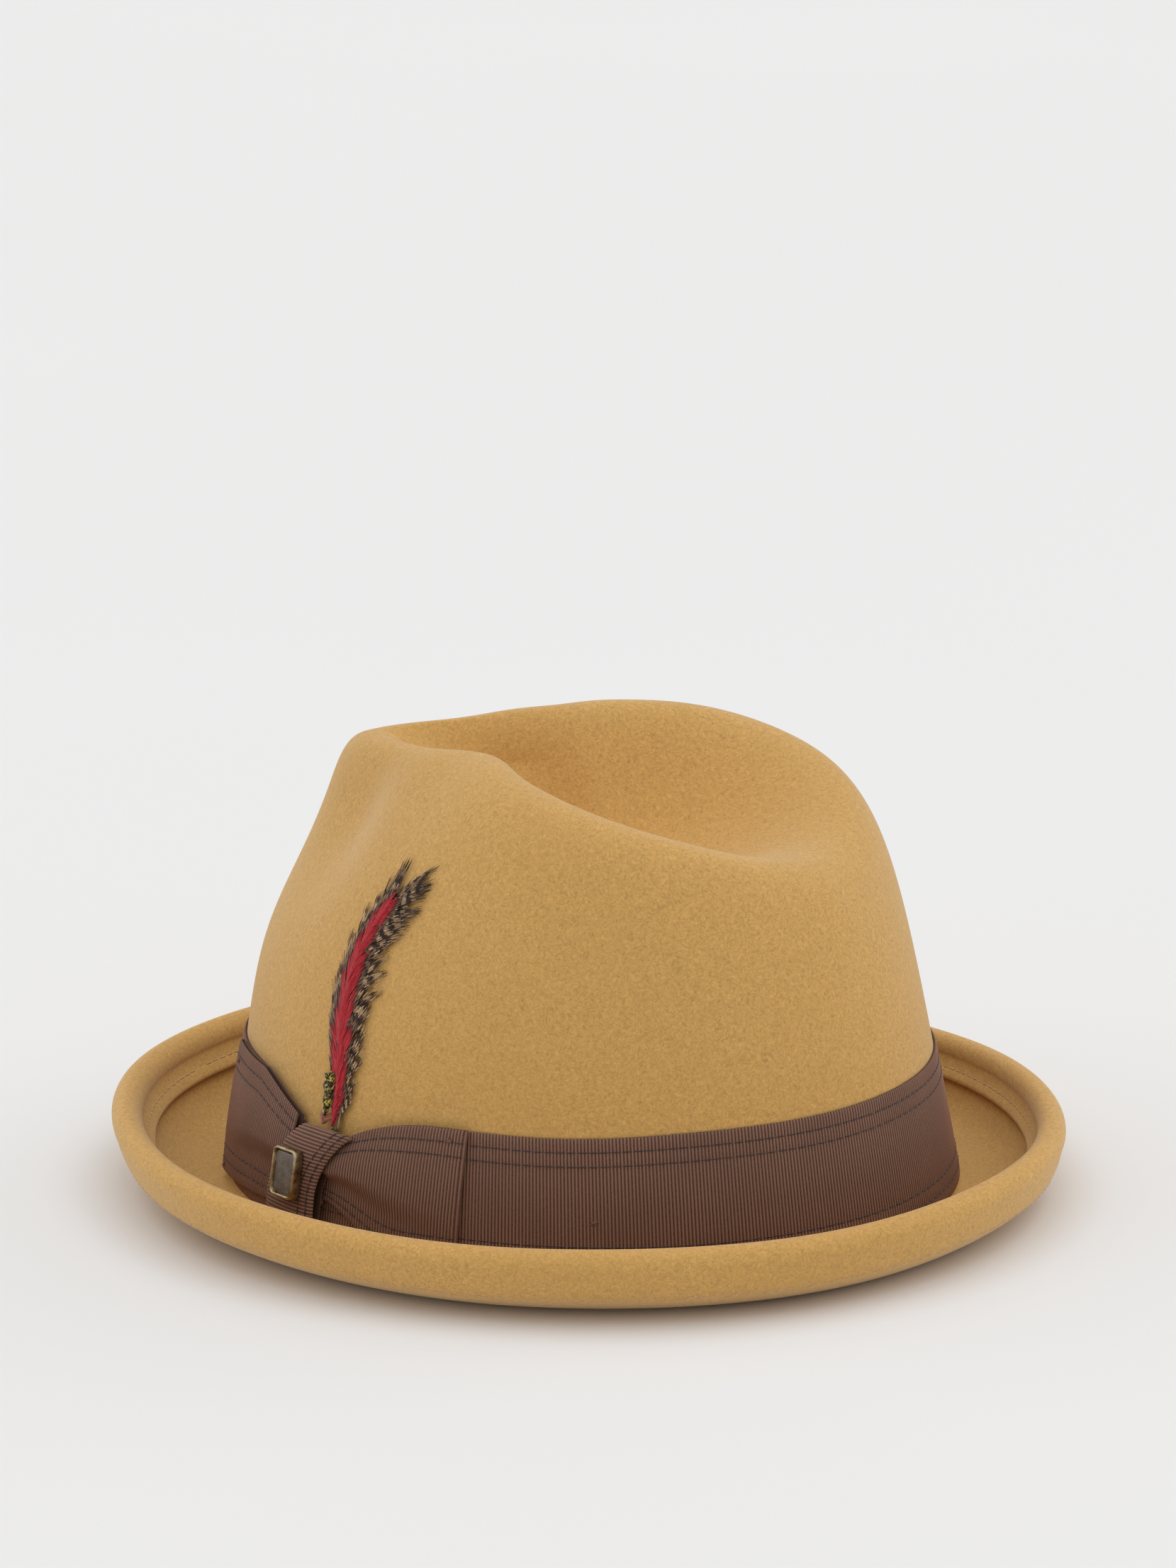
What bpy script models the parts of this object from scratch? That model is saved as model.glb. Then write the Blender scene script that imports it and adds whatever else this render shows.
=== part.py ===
"""Felt fedora with a C-shaped crown, a rolled and stitched brim, a grosgrain band with a flat bow,
a metal badge on the bow's knot, and a feather bunch that pulls up out of the bow.

Metres. +X is the front of the hat, +Y is the wearer's left, where the bow is, and +Z is up.
The origin is on the surface the hat rests on, below the middle of the head opening.

The whole hat hangs on one surface, the outside of the felt crown wall. A place on or near it is
given by its plan angle (0 at the front, 90 degrees at the wearer's left), its height above the foot
of the wall, and how far it stands out from the felt.
"""

import math

import bmesh
import bpy
import numpy as np

# Head oval and overall build
OVAL_FRONT = 0.103          # half-length of the wall's outside at its foot
OVAL_SIDE = 0.086           # half-width of the same oval
FOOT = 0.003                # height of the wall's foot above the resting surface
FELT = 0.0020               # thickness of the crown's felt
GAP = 0.0003                # room left between touching pieces
TAPER = 0.16                # how far the wall leans in for each unit it rises, at its foot

# The crown at five plan angles, 0, 45, 90, 135 and 180 degrees
RIM_SHARE = (0.632, 0.407, 0.453, 0.693, 0.675)           # the rim's oval, as a share of the head oval
RIM_HEIGHT = (0.1188, 0.1220, 0.1226, 0.1099, 0.0984)
WALL_RISE = (0.0573, 0.0604, 0.0687, 0.0803, 0.0851)      # how long the wall stays upright
SHOULDER = (0.0286, 0.0213, 0.0264, 0.0162, 0.0148)       # how wide the shoulder under the rim is
BOWL_LIP = (0.0102, 0.0104, 0.0131, 0.0133, 0.0156)       # how wide the hollow's lip is
BOWL_FLAT = (0.0240, 0.0220, 0.0240, 0.0260, 0.0300)      # how flat the hollow's floor is
BOWL_CENTRE = (-0.014, 0.0, 0.088)

# The pinch pressed into each side of the crown's front
PINCH_ANGLE = 20.7
PINCH_SPREAD = 22.7
PINCH_HEIGHT = 0.1016
PINCH_REACH = 0.0250
PINCH_DEPTH = 0.0172

# The brim's section: u runs outward from the wall's foot, and heights are from the same foot
BRIM_RISE = 0.0013          # front and back of the brim stand higher, the sides lower
BRIM_TILT = 0.0018          # the front of the brim stands higher than its back
ROLL_U = 0.0265             # middle of the rolled edge
ROLL_HEIGHT = 0.0150
ROLL_RADIUS = 0.0040
REST_RING = (0.004, 0.009)  # flat ring under the brim
LIP_TOP = (0.0196, 0.0094)  # free edge of the turned-in felt
LIP_FOOT = (0.0203, 0.0079)
LIP_ROOT = (0.0224, 0.0086)

# Ribbon
RIBBON = 0.0007
BAND_FOOT = 0.0018
BAND_TOP = 0.0380
BAND_DIPS = ((66.5, 13.0, 16.0, 0.0110), (107.0, 18.0, 20.0, 0.0013))  # angle, spreads, depth
BOW_OUTLINE = (             # plan angle, lower and upper height of the bow's loops, in mm
    (29.0, 2.5, 38.4), (31.5, 2.8, 38.4), (34.0, 3.3, 38.4), (38.9, 4.2, 38.4), (44.0, 4.8, 38.3),
    (48.9, 5.2, 37.9), (52.0, 5.4, 36.4), (55.0, 5.9, 34.5), (58.0, 6.6, 32.3), (60.0, 6.9, 30.8),
    (63.0, 7.0, 27.8), (66.0, 7.6, 27.8), (70.0, 9.4, 27.8), (74.4, 8.6, 28.0), (77.4, 6.4, 33.0),
    (80.5, 3.6, 35.2), (84.7, 1.9, 36.2), (89.8, 2.2, 37.0), (94.0, 2.2, 37.0),
)
BOW_MIDDLE = 65.5
KNOT_ANGLE = 63.0
KNOT_HALF = 5.5             # half of the knot's width, in degrees of plan angle
KNOT_LEAN = (0.012, 0.0177, 5.3)    # height the lean starts at, its rise, and its turn in degrees
KNOT_Z = (0.0035, 0.0305)
KNOT_W = (0.0029, 0.0072)
KNOT_RIBBON = 0.0009

# Lining
LINING = 0.0005
LINING_STAND = 0.0031       # how far inside the felt's outer face the lining hangs

# Badge
BADGE_ANGLE = 63.4
BADGE_Z = 0.0172
BADGE_W = 0.0073
BADGE_SIZE = (0.0100, 0.0135, 0.0030)
RIVET_RADIUS = 0.0006

# Feather bunch
FEATHER_FOOT = (67.2, 0.0100)    # plan angle and height of the quills' lower ends
FEATHER_LENGTH = 0.0985
QUILL_W = 0.0013
QUILL = 0.0013
QUILL_LENGTH = 0.0205

AROUND = 56                 # steps around the hat


def even_wave(values, angle):
    """Smooth curve over the plan angle, the same on both sides, through evenly spaced values."""
    count = len(values)
    at = np.linspace(0.0, math.pi, count)
    order = np.arange(count)
    weights = np.linalg.solve(np.cos(np.outer(at, order)), np.array(values))
    return np.cos(np.outer(np.atleast_1d(angle), order)) @ weights


def bezier(a, b, c, d, s):
    """Cubic Bezier curve through a and d, with handles b and c."""
    s = np.asarray(s)[..., None]
    return (1 - s) ** 3 * a + 3 * (1 - s) ** 2 * s * b + 3 * (1 - s) * s ** 2 * c + s ** 3 * d


def oval_frame(angle):
    """Point on the head oval, and its outward direction, at one plan angle."""
    point = np.array([OVAL_FRONT * math.cos(angle), OVAL_SIDE * math.sin(angle), 0.0])
    out = np.array([OVAL_SIDE * math.cos(angle), OVAL_FRONT * math.sin(angle), 0.0])
    return point, out / np.linalg.norm(out)


def pinched(points, angle, out, fade):
    """Presses the front pinch into a column of points."""
    off_front = abs((math.degrees(angle) + 180.0) % 360.0 - 180.0)
    side = math.exp(-(((off_front - PINCH_ANGLE) / PINCH_SPREAD) ** 2))
    high = np.exp(-(((points[:, 2] - PINCH_HEIGHT) / PINCH_REACH) ** 2))
    return points - out * (PINCH_DEPTH * side * high * fade)[:, None]


def crown_column(angle, wall_steps, bowl_steps):
    """The crown's outside at one plan angle, from the wall's foot over the rim to the bowl's centre."""
    foot, out = oval_frame(angle)
    share, height, rise, shoulder, lip, flat = (
        even_wave(values, angle)[0]
        for values in (RIM_SHARE, RIM_HEIGHT, WALL_RISE, SHOULDER, BOWL_LIP, BOWL_FLAT)
    )
    rim = foot * share + np.array([0.0, 0.0, height])
    centre = np.array(BOWL_CENTRE)
    toward_rim = rim - centre
    toward_rim[2] = 0.0
    toward_rim /= np.linalg.norm(toward_rim)
    upright = foot + np.array([0.0, 0.0, rise]) - out * TAPER * rise
    wall = bezier(foot, upright, rim + out * shoulder, rim, wall_steps)
    bowl = bezier(rim, rim - out * lip, centre + toward_rim * flat, centre, bowl_steps)
    bowl_fade = np.clip(1.0 - 2.5 * np.asarray(bowl_steps), 0.0, 1.0)
    wall = pinched(wall, angle, out, np.ones(len(wall)))
    bowl = pinched(bowl, angle, out, bowl_fade)
    return wall, bowl


WALL_FINE = np.linspace(0.0, 1.0, 81)
TURN = math.radians(0.5)


def wall_point(angle, height):
    """Point on the outside of the crown's wall at a plan angle in degrees and a height."""
    wall, _ = crown_column(math.radians(angle), WALL_FINE, np.array([0.0]))
    s = np.interp(height, wall[:, 2], np.arange(len(wall)))
    low = int(min(s, len(wall) - 2))
    return wall[low] + (wall[low + 1] - wall[low]) * (s - low)


def skin(angle, height, stand):
    """Point that stands out from the wall's outside, in the hat's own frame."""
    here = wall_point(angle, height)
    step = 0.001
    low = max(height, 0.0)
    along = wall_point(angle, low + step) - wall_point(angle, low)
    around = wall_point(angle + 0.5, low) - wall_point(angle - 0.5, low)
    normal = np.cross(around, along)
    normal /= np.linalg.norm(normal)
    if height < 0.0:
        here = wall_point(angle, 0.0) + np.array([0.0, 0.0, height])
    return here + normal * stand + np.array([0.0, 0.0, FOOT])


def finish(colour, roughness, metallic=0.0):
    """Values of one material: linear colour, roughness and metallic."""
    return {"colour": colour, "roughness": roughness, "metallic": metallic}


FELT_FINISH = finish((0.50, 0.29, 0.09), 0.95)
RIBBON_FINISH = finish((0.155, 0.075, 0.055), 0.75)
DARK_THREAD = finish((0.06, 0.028, 0.022), 0.85)
TAN_THREAD = finish((0.55, 0.36, 0.17), 0.85)
BRASS_FINISH = finish((0.23, 0.17, 0.10), 0.40, 1.0)
STEEL_FINISH = finish((0.13, 0.11, 0.09), 0.45, 1.0)
LINING_FINISH = finish((0.10, 0.055, 0.04), 0.40)
SWEAT_FINISH = finish((0.09, 0.05, 0.035), 0.60)
RED_FEATHER = finish((0.42, 0.012, 0.022), 0.70)
BARRED_FEATHER = finish((0.18, 0.12, 0.08), 0.75)
GOLD_FEATHER = finish((0.42, 0.33, 0.03), 0.60)
PINK_FLUFF = finish((0.55, 0.12, 0.10), 0.90)


def add_solid(name, points, faces, look, smooth_angle=35.0):
    """Adds one closed solid, with its faces turned outward, and its own material."""
    mesh = bpy.data.meshes.new(name)
    mesh.from_pydata([tuple(p) for p in points], [], faces)
    shape = bmesh.new()
    shape.from_mesh(mesh)
    bmesh.ops.recalc_face_normals(shape, faces=shape.faces)
    shape.to_mesh(mesh)
    shape.free()
    mesh.shade_smooth()
    mesh.set_sharp_from_angle(angle=math.radians(smooth_angle))
    material = bpy.data.materials.new(name)
    material.use_nodes = True
    shader = material.node_tree.nodes["Principled BSDF"]
    shader.inputs["Base Color"].default_value = (*look["colour"], 1.0)
    shader.inputs["Roughness"].default_value = look["roughness"]
    shader.inputs["Metallic"].default_value = look["metallic"]
    mesh.materials.append(material)
    solid = bpy.data.objects.new(name, mesh)
    bpy.context.scene.collection.objects.link(solid)
    return solid


def grid_faces(rows, columns, close_rows, close_columns):
    """Quads of a grid whose points are stored row by row."""
    faces = []
    for r in range(rows if close_rows else rows - 1):
        for c in range(columns if close_columns else columns - 1):
            right = (c + 1) % columns
            below = (r + 1) % rows
            faces.append((r * columns + c, r * columns + right, below * columns + right, below * columns + c))
    return faces


def add_ring(name, section, look, count=AROUND, place=skin):
    """Closed ring around the hat. section lists (height, stand) pairs around its cross-section."""
    points = []
    for step in range(count):
        angle = 360.0 * step / count
        points.extend(place(angle, height, stand) for height, stand in section)
    return add_solid(name, points, grid_faces(count, len(section), True, True), look)


def add_tube(name, loops, look):
    """Solid through a row of closed loops of the same size, capped at both ends."""
    size = len(loops[0])
    points = [p for loop in loops for p in loop]
    faces = grid_faces(len(loops), size, False, True)
    faces.append(tuple(range(size)))
    faces.append(tuple(range(len(points) - size, len(points))))
    return add_solid(name, points, faces, look)


def round_section(height, stand, radius, sides=4):
    """Corners of a thread's or cord's cross-section."""
    turns = [2.0 * math.pi * k / sides for k in range(sides)]
    return [(height + radius * math.sin(t), stand + radius * math.cos(t)) for t in turns]


# Felt body: crown and brim are one piece of felt

def brim_section():
    """Closed outline of the brim as (u, height), from the wall's foot outward and back underneath."""
    def curve(a, b, c, d, steps):
        return bezier(*(np.array(p) for p in (a, b, c, d)), np.linspace(0.0, 1.0, steps))

    top = curve((0.0012, 0.0006), (0.011, -0.0015), (0.0165, 0.0), LIP_ROOT, 6)
    turns = np.radians(np.linspace(208.0, -20.0, 8))
    roll = np.stack([ROLL_U + ROLL_RADIUS * np.cos(turns), ROLL_HEIGHT + ROLL_RADIUS * np.sin(turns)], -1)
    under = curve(roll[-1], (0.0262, 0.0060), (0.0155, -FOOT), (REST_RING[1], -FOOT), 6)
    foot = np.array([(REST_RING[0], -FOOT), (0.001, -0.0026), (-FELT, -0.0012)])
    return np.concatenate([top, [LIP_FOOT, LIP_TOP], roll, under[1:], foot])


def brim_point(angle, u, height):
    """A brim section's point at a plan angle; the rolled edge rises and falls around the hat."""
    point, out = oval_frame(angle)
    lift = BRIM_RISE * math.cos(2.0 * angle) + BRIM_TILT * math.cos(angle)
    rise = lift * np.clip(u / ROLL_U, 0.0, 1.0) ** 2 * (height > -0.0025)
    return point + out * u + np.array([0.0, 0.0, height + rise + FOOT])


def make_felt_body():
    wall_steps = np.concatenate([[0.008, 0.09], np.linspace(0.21, 1.0, 8)])
    bowl_steps = np.array([0.12, 0.27, 0.44, 0.62, 0.81])
    outside = []
    for step in range(AROUND):
        wall, bowl = crown_column(2.0 * math.pi * step / AROUND, wall_steps, bowl_steps)
        outside.append(np.concatenate([wall, bowl]))
    outside = np.array(outside)
    around = np.roll(outside, -1, axis=0) - np.roll(outside, 1, axis=0)
    along = np.gradient(outside, axis=1)
    normal = np.cross(around, along)
    normal /= np.linalg.norm(normal, axis=2)[..., None]
    inside = outside - normal * FELT
    lift = np.array([0.0, 0.0, FOOT])
    section = brim_section()
    points = []
    for step in range(AROUND):
        angle = 2.0 * math.pi * step / AROUND
        points.extend(outside[step][::-1] + lift)
        points.extend(brim_point(angle, u, height) for u, height in section)
        points.extend(inside[step] + lift)
    size = len(points) // AROUND
    faces = grid_faces(AROUND, size, True, False)
    top = len(points)
    centre = np.array(BOWL_CENTRE) + lift
    points.append(centre)
    points.append(centre - np.array([0.0, 0.0, FELT]))
    for step in range(AROUND):
        after = (step + 1) % AROUND
        faces.append((step * size, after * size, top))
        faces.append((after * size + size - 1, step * size + size - 1, top + 1))
    return add_solid("felt_body", points, faces, FELT_FINISH, 60.0)


def add_brim_thread(name, u, height, out_u, out_height):
    """Row of stitching around the brim, as the thread's ring just clear of the felt."""
    radius = 0.00025
    shift = GAP + radius
    middle_u = u + out_u * shift
    middle_height = height + out_height * shift

    def place(angle, dz, du):
        return brim_point(math.radians(angle), middle_u + du, middle_height + dz)

    return add_ring(name, round_section(0.0, 0.0, radius, 3), TAN_THREAD, place=place)


def make_brim_threads():
    add_brim_thread("brim_stitch_inner", 0.0213, 0.0115, -0.79, 0.62)
    add_brim_thread("brim_stitch_outer", 0.0272, 0.0082, 0.86, -0.51)


# Ribbon: band, bow and knot

def band_place(angle, share, stand):
    """Point on the band; share runs from its lower edge to its upper one, which dips in places."""
    top = BAND_TOP
    for middle, before, after, depth in BAND_DIPS:
        spread = before if angle < middle else after
        top -= depth * math.exp(-(((angle - middle) / spread) ** 2))
    return skin(angle, BAND_FOOT + (top - BAND_FOOT) * share, stand)


def make_hat_band():
    inner = GAP
    outer = GAP + RIBBON
    section = [(share, outer) for share in (0.0, 0.5, 1.0)] + [(share, inner) for share in (1.0, 0.5, 0.0)]
    return add_ring("hat_band", section, RIBBON_FINISH, place=band_place)


def ease(x):
    """Smooth step from 0 to 1."""
    x = min(max(x, 0.0), 1.0)
    return x * x * (3.0 - 2.0 * x)


def make_bow_loops():
    """The bow's two flat loops, one ribbon pinched in the middle."""
    loops = []
    for angle, low, high in BOW_OUTLINE:
        reach = BOW_MIDDLE - BOW_OUTLINE[0][0] if angle < BOW_MIDDLE else BOW_OUTLINE[-1][0] - BOW_MIDDLE
        share = abs(angle - BOW_MIDDLE) / reach
        inner = 0.0043 + (GAP * 2 + RIBBON - 0.0043) * ease((share - 0.32) / 0.30)
        outer = 0.0053 + (0.0031 - 0.0053) * ease((share - 0.32) / 0.68)
        heights = np.linspace(low, high, 5) * 0.001
        loop = [skin(angle, h, outer) for h in heights]
        loop += [skin(angle, h, inner) for h in reversed(heights)]
        loops.append(loop)
    return add_tube("bow_loops", loops, RIBBON_FINISH)


def knot_loop(angle, inset):
    """The knot's wrap at one plan angle: a rounded loop in height and stand."""
    middle_z = 0.5 * (KNOT_Z[0] + KNOT_Z[1])
    half_z = 0.5 * (KNOT_Z[1] - KNOT_Z[0]) - inset
    middle_w = 0.5 * (KNOT_W[0] + KNOT_W[1])
    half_w = 0.5 * (KNOT_W[1] - KNOT_W[0]) - inset
    loop = []
    for k in range(16):
        turn = 2.0 * math.pi * k / 16
        c, s = math.cos(turn), math.sin(turn)
        z = middle_z + half_z * math.copysign(abs(s) ** 0.45, s)
        w = middle_w + half_w * math.copysign(abs(c) ** 0.45, c)
        start, reach, lean = KNOT_LEAN
        loop.append(skin(angle + lean * (max(z - start, 0.0) / reach) ** 1.9, z, w))
    return loop


def make_bow_knot():
    """The ribbon wrap around the bow's pinched middle, open at both sides."""
    steps = 5
    rows = []
    for step in range(steps):
        angle = KNOT_ANGLE + KNOT_HALF * (2.0 * step / (steps - 1) - 1.0)
        rows.append(knot_loop(angle, 0.0))
    for step in reversed(range(steps)):
        angle = KNOT_ANGLE + KNOT_HALF * (2.0 * step / (steps - 1) - 1.0)
        rows.append(knot_loop(angle, KNOT_RIBBON))
    points = [p for row in rows for p in row]
    knot = add_solid("bow_knot", points, grid_faces(len(rows), 16, True, True), RIBBON_FINISH)
    origin, axes = badge_frame_axes()
    hole = RIVET_RADIUS + GAP
    bore = add_turned("knot_bore", [(hole, -0.0014), (hole, 0.0012)], origin, axes, RIBBON_FINISH)
    cut = knot.modifiers.new("rivet hole", "BOOLEAN")
    cut.operation = "DIFFERENCE"
    cut.object = bore
    bore.hide_render = True
    bore.display_type = "WIRE"
    return knot


# Badge on the knot

def badge_frame_axes():
    """Middle of the badge's back, with axes across, up and out."""
    origin = skin(BADGE_ANGLE, BADGE_Z, BADGE_W)
    out = skin(BADGE_ANGLE, BADGE_Z, BADGE_W + 0.001) - origin
    out /= np.linalg.norm(out)
    across = np.cross(np.array([0.0, 0.0, 1.0]), out)
    across /= np.linalg.norm(across)
    return origin, (across, np.cross(out, across), out)


def add_turned(name, profile, origin, axes, look, sides=12):
    """Turned solid about the badge's outward axis. profile lists (radius, height) pairs."""
    across, up, out = axes
    loops = []
    for radius, height in profile:
        turns = [2.0 * math.pi * k / sides for k in range(sides)]
        ring = [(across * math.cos(t) + up * math.sin(t)) * radius for t in turns]
        loops.append([origin + spoke + out * height for spoke in ring])
    return add_tube(name, loops, look)


def rounded_plate(width, height, corner, sides=3):
    """Outline of a plate with round corners."""
    outline = []
    for k, (sx, sy) in enumerate(((1, 1), (-1, 1), (-1, -1), (1, -1))):
        for j in range(sides + 1):
            turn = math.radians(90.0 * (k + j / sides))
            x = sx * (width / 2 - corner) + corner * math.cos(turn)
            y = sy * (height / 2 - corner) + corner * math.sin(turn)
            outline.append((x, y))
    return outline


def make_badge():
    origin, (across, up, out) = badge_frame_axes()
    width, height, thick = BADGE_SIZE
    wall = 0.0009
    floor = 0.0008

    def loop(inset, corner, level):
        outline = rounded_plate(width - 2 * inset, height - 2 * inset, corner)
        return [origin + across * x + up * y + out * level for x, y in outline]

    rim = [loop(0.0, 0.0020, 0.0), loop(0.0, 0.0020, thick * 0.75), loop(0.0004, 0.0018, thick)]
    recess = [loop(wall, 0.0013, thick), loop(wall, 0.0013, floor)]
    add_tube("badge_frame", rim + recess, BRASS_FINISH)
    inlay = [loop(wall + GAP, 0.0010, floor + GAP), loop(wall + GAP, 0.0010, thick - 0.0005)]
    add_tube("badge_inlay", inlay, STEEL_FINISH)
    rivet = [(0.0013, -0.0018), (0.0013, -0.0014), (RIVET_RADIUS, -0.0014), (RIVET_RADIUS, -GAP)]
    add_turned("badge_rivet", rivet, origin, (across, up, out), STEEL_FINISH)


# Tacks: short stitches that hold the bow and the band

def add_tack(name, angle, height, stand):
    """A few turns of thread, drawn tight."""
    origin = skin(angle, height, stand + GAP)
    across = skin(angle + 0.5, height, stand + GAP) - origin
    across /= np.linalg.norm(across)
    out = skin(angle, height, stand + 0.001) - skin(angle, height, stand)
    out /= np.linalg.norm(out)
    up = np.cross(out, across)
    loops = []
    for along, swell in ((-0.0016, 0.4), (-0.0008, 1.0), (0.0008, 1.0), (0.0016, 0.4)):
        radius = 0.00035 * swell
        turns = [2.0 * math.pi * k / 6 for k in range(6)]
        middle = origin + across * along + out * 0.00035
        loops.append([middle + (up * math.cos(t) + out * math.sin(t)) * radius for t in turns])
    return add_tube(name, loops, DARK_THREAD)


def make_tacks():
    loop_face = 0.0033
    add_tack("bow_tack_front_top", 32.5, 0.0345, loop_face)
    add_tack("bow_tack_front_bottom", 32.5, 0.0050, loop_face)
    add_tack("bow_tack_rear_top", 92.0, 0.0340, loop_face)
    add_tack("bow_tack_rear_bottom", 92.0, 0.0050, loop_face)
    add_tack("band_tack", 114.0, 0.0150, GAP + RIBBON)


# Feather bunch

def feather_line(share, lean):
    """Plan angle and height along the bunch, from the quills' ends to tips that lean to the rear."""
    foot_angle, foot_height = FEATHER_FOOT
    height = foot_height + FEATHER_LENGTH * share * (1.0 - 0.06 * share ** 2)
    turn = lean * max(0.0, (share - 0.45) / 0.55) ** 1.7
    return foot_angle - 5.0 * share * (1.0 - share) + turn, height


def add_blade(name, start, end, width, stand, thick, look, lean=16.0, shift=0.0, steps=12):
    """A flat blade that follows the bunch's line, widest a third of the way up."""
    loops = []
    for step in range(steps + 1):
        part = step / steps
        angle, height = feather_line(start + (end - start) * part, lean)
        half = 0.5 * width * (0.16 + 0.84 * math.sin(math.pi * min(part * 1.1 + 0.06, 1.0)) ** 0.7)
        middle = skin(angle + shift, height, stand)
        side = skin(angle + shift + 1.0, height, stand) - middle
        side /= np.linalg.norm(side)
        rise = skin(angle + shift, height, stand + 0.001) - middle
        rise /= np.linalg.norm(rise)
        corners = ((-half, 0.0), (0.0, -0.0), (half, 0.0), (half * 0.7, thick), (-half * 0.7, thick))
        loops.append([middle + side * x + rise * y for x, y in corners if (x, y) != (0.0, 0.0)])
    return add_tube(name, loops, look)


def make_feathers():
    lift = 0.0014
    add_blade("feather_barred", 0.22, 1.0, 0.0120, lift, 0.0006, BARRED_FEATHER)
    add_blade("feather_red", 0.22, 0.88, 0.0095, lift + 0.0009, 0.0006, RED_FEATHER, 8.0)
    front = lift + 0.0018
    add_blade("feather_gold_tuft", 0.245, 0.38, 0.0050, front, 0.0006, GOLD_FEATHER, shift=-0.5, steps=6)
    add_blade("feather_fluff", 0.215, 0.24, 0.0040, front, 0.0006, PINK_FLUFF, shift=-1.0, steps=4)


def make_quills():
    """The bound quills, a straight stem behind the knot."""
    foot_angle, foot_height = FEATHER_FOOT
    loops = []
    for part in (0.0, 0.33, 0.67, 1.0):
        height = foot_height + QUILL_LENGTH * part
        middle = skin(foot_angle, height, QUILL_W + QUILL / 2)
        side = skin(foot_angle + 1.0, height, QUILL_W + QUILL / 2) - middle
        side /= np.linalg.norm(side)
        out = skin(foot_angle, height, QUILL_W + QUILL / 2 + 0.001) - middle
        out /= np.linalg.norm(out)
        turns = [2.0 * math.pi * k / 8 for k in range(8)]
        loops.append([middle + side * 0.0012 * math.cos(t) + out * QUILL / 2 * math.sin(t) for t in turns])
    return add_tube("feather_quills", loops, BARRED_FEATHER)


# Inside of the hat

def make_inside():
    outer = -(FELT + GAP)
    leather = 0.0010
    heights = (0.0018, 0.0175, 0.0335)
    section = [(h, outer) for h in heights] + [(h, outer - leather) for h in reversed(heights)]
    add_ring("sweatband", section, SWEAT_FINISH)
    reed = 0.0009
    add_ring("sweatband_reed", round_section(0.0004, outer - reed, reed, 5), SWEAT_FINISH)
    heights = (0.0340, 0.0470, 0.0600, 0.0730, 0.0850)
    section = [(h, -LINING_STAND) for h in heights]
    section += [(h, -LINING_STAND - LINING) for h in reversed(heights)]
    add_ring("lining_side", section, LINING_FINISH)
    piping = 0.0008
    stand = -(LINING_STAND + LINING + GAP + piping)
    add_ring("lining_piping", round_section(0.0843, stand, piping, 4), LINING_FINISH)


def make_lining_tip():
    """The lining's top panel, a loose cloth disc stretched below the crown's hollow."""
    edge_height = 0.0862
    middle = np.array([BOWL_CENTRE[0], 0.0, 0.0845 + FOOT])
    shares = (1.0, 0.8, 0.55, 0.3)
    points = []
    for step in range(AROUND):
        edge = skin(360.0 * step / AROUND, edge_height, -LINING_STAND)
        column = [middle + (edge - middle) * share for share in shares]
        points.extend(column)
        points.extend(p - np.array([0.0, 0.0, LINING]) for p in reversed(column))
    size = 2 * len(shares)
    faces = []
    for step in range(AROUND):
        here, after = step * size, (step + 1) % AROUND * size
        for k in [*range(len(shares) - 1), *range(len(shares), size - 1)]:
            faces.append((here + k, here + k + 1, after + k + 1, after + k))
        faces.append((here, after, after + size - 1, here + size - 1))
        faces.append((here + len(shares) - 1, AROUND * size, after + len(shares) - 1))
        faces.append((here + len(shares), after + len(shares), AROUND * size + 1))
    points.append(middle)
    points.append(middle - np.array([0.0, 0.0, LINING]))
    return add_solid("lining_tip", points, faces, LINING_FINISH, 60.0)


def make_sweatband_bow():
    """The small ribbon bow on the sweatband, at the back of the head opening."""
    stand = -(FELT + GAP + 0.0010 + GAP)
    loops = []
    for step in range(9):
        part = step / 4 - 1.0
        half = 0.0010 + 0.0018 * ease(abs(part) * 1.4)
        angle = 180.0 + 5.0 * part
        middle = 0.0070
        low, high = middle - half, middle + half
        loops.append([skin(angle, low, stand), skin(angle, high, stand),
                      skin(angle, high, stand - 0.0010), skin(angle, low, stand - 0.0010)])
    return add_tube("sweatband_bow", loops, RIBBON_FINISH)


def main():
    for old in list(bpy.data.objects):
        bpy.data.objects.remove(old)
    make_felt_body()
    make_brim_threads()
    make_hat_band()
    make_bow_loops()
    make_bow_knot()
    make_badge()
    make_tacks()
    make_quills()
    make_feathers()
    make_inside()
    make_lining_tip()
    make_sweatband_bow()


main()
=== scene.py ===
"""Looks of the felt fedora: brushed felt, grosgrain band and bow, badge, feathers and the inside."""
import math

import bmesh
import bpy
import numpy as np
from mathutils import Matrix, Vector


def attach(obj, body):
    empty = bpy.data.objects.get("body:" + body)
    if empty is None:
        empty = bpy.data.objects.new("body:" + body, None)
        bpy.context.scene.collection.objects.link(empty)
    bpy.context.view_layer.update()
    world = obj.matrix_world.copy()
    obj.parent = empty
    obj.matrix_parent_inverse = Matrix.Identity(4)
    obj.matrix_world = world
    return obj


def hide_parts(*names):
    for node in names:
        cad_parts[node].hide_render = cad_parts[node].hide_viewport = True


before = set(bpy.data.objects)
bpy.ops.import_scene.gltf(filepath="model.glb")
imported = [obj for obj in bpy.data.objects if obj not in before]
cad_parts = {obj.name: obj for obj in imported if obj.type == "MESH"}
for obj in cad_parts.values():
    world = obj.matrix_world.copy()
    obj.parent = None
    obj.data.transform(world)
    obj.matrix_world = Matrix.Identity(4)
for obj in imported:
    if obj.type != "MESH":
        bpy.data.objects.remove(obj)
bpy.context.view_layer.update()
MM = 0.001

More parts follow.
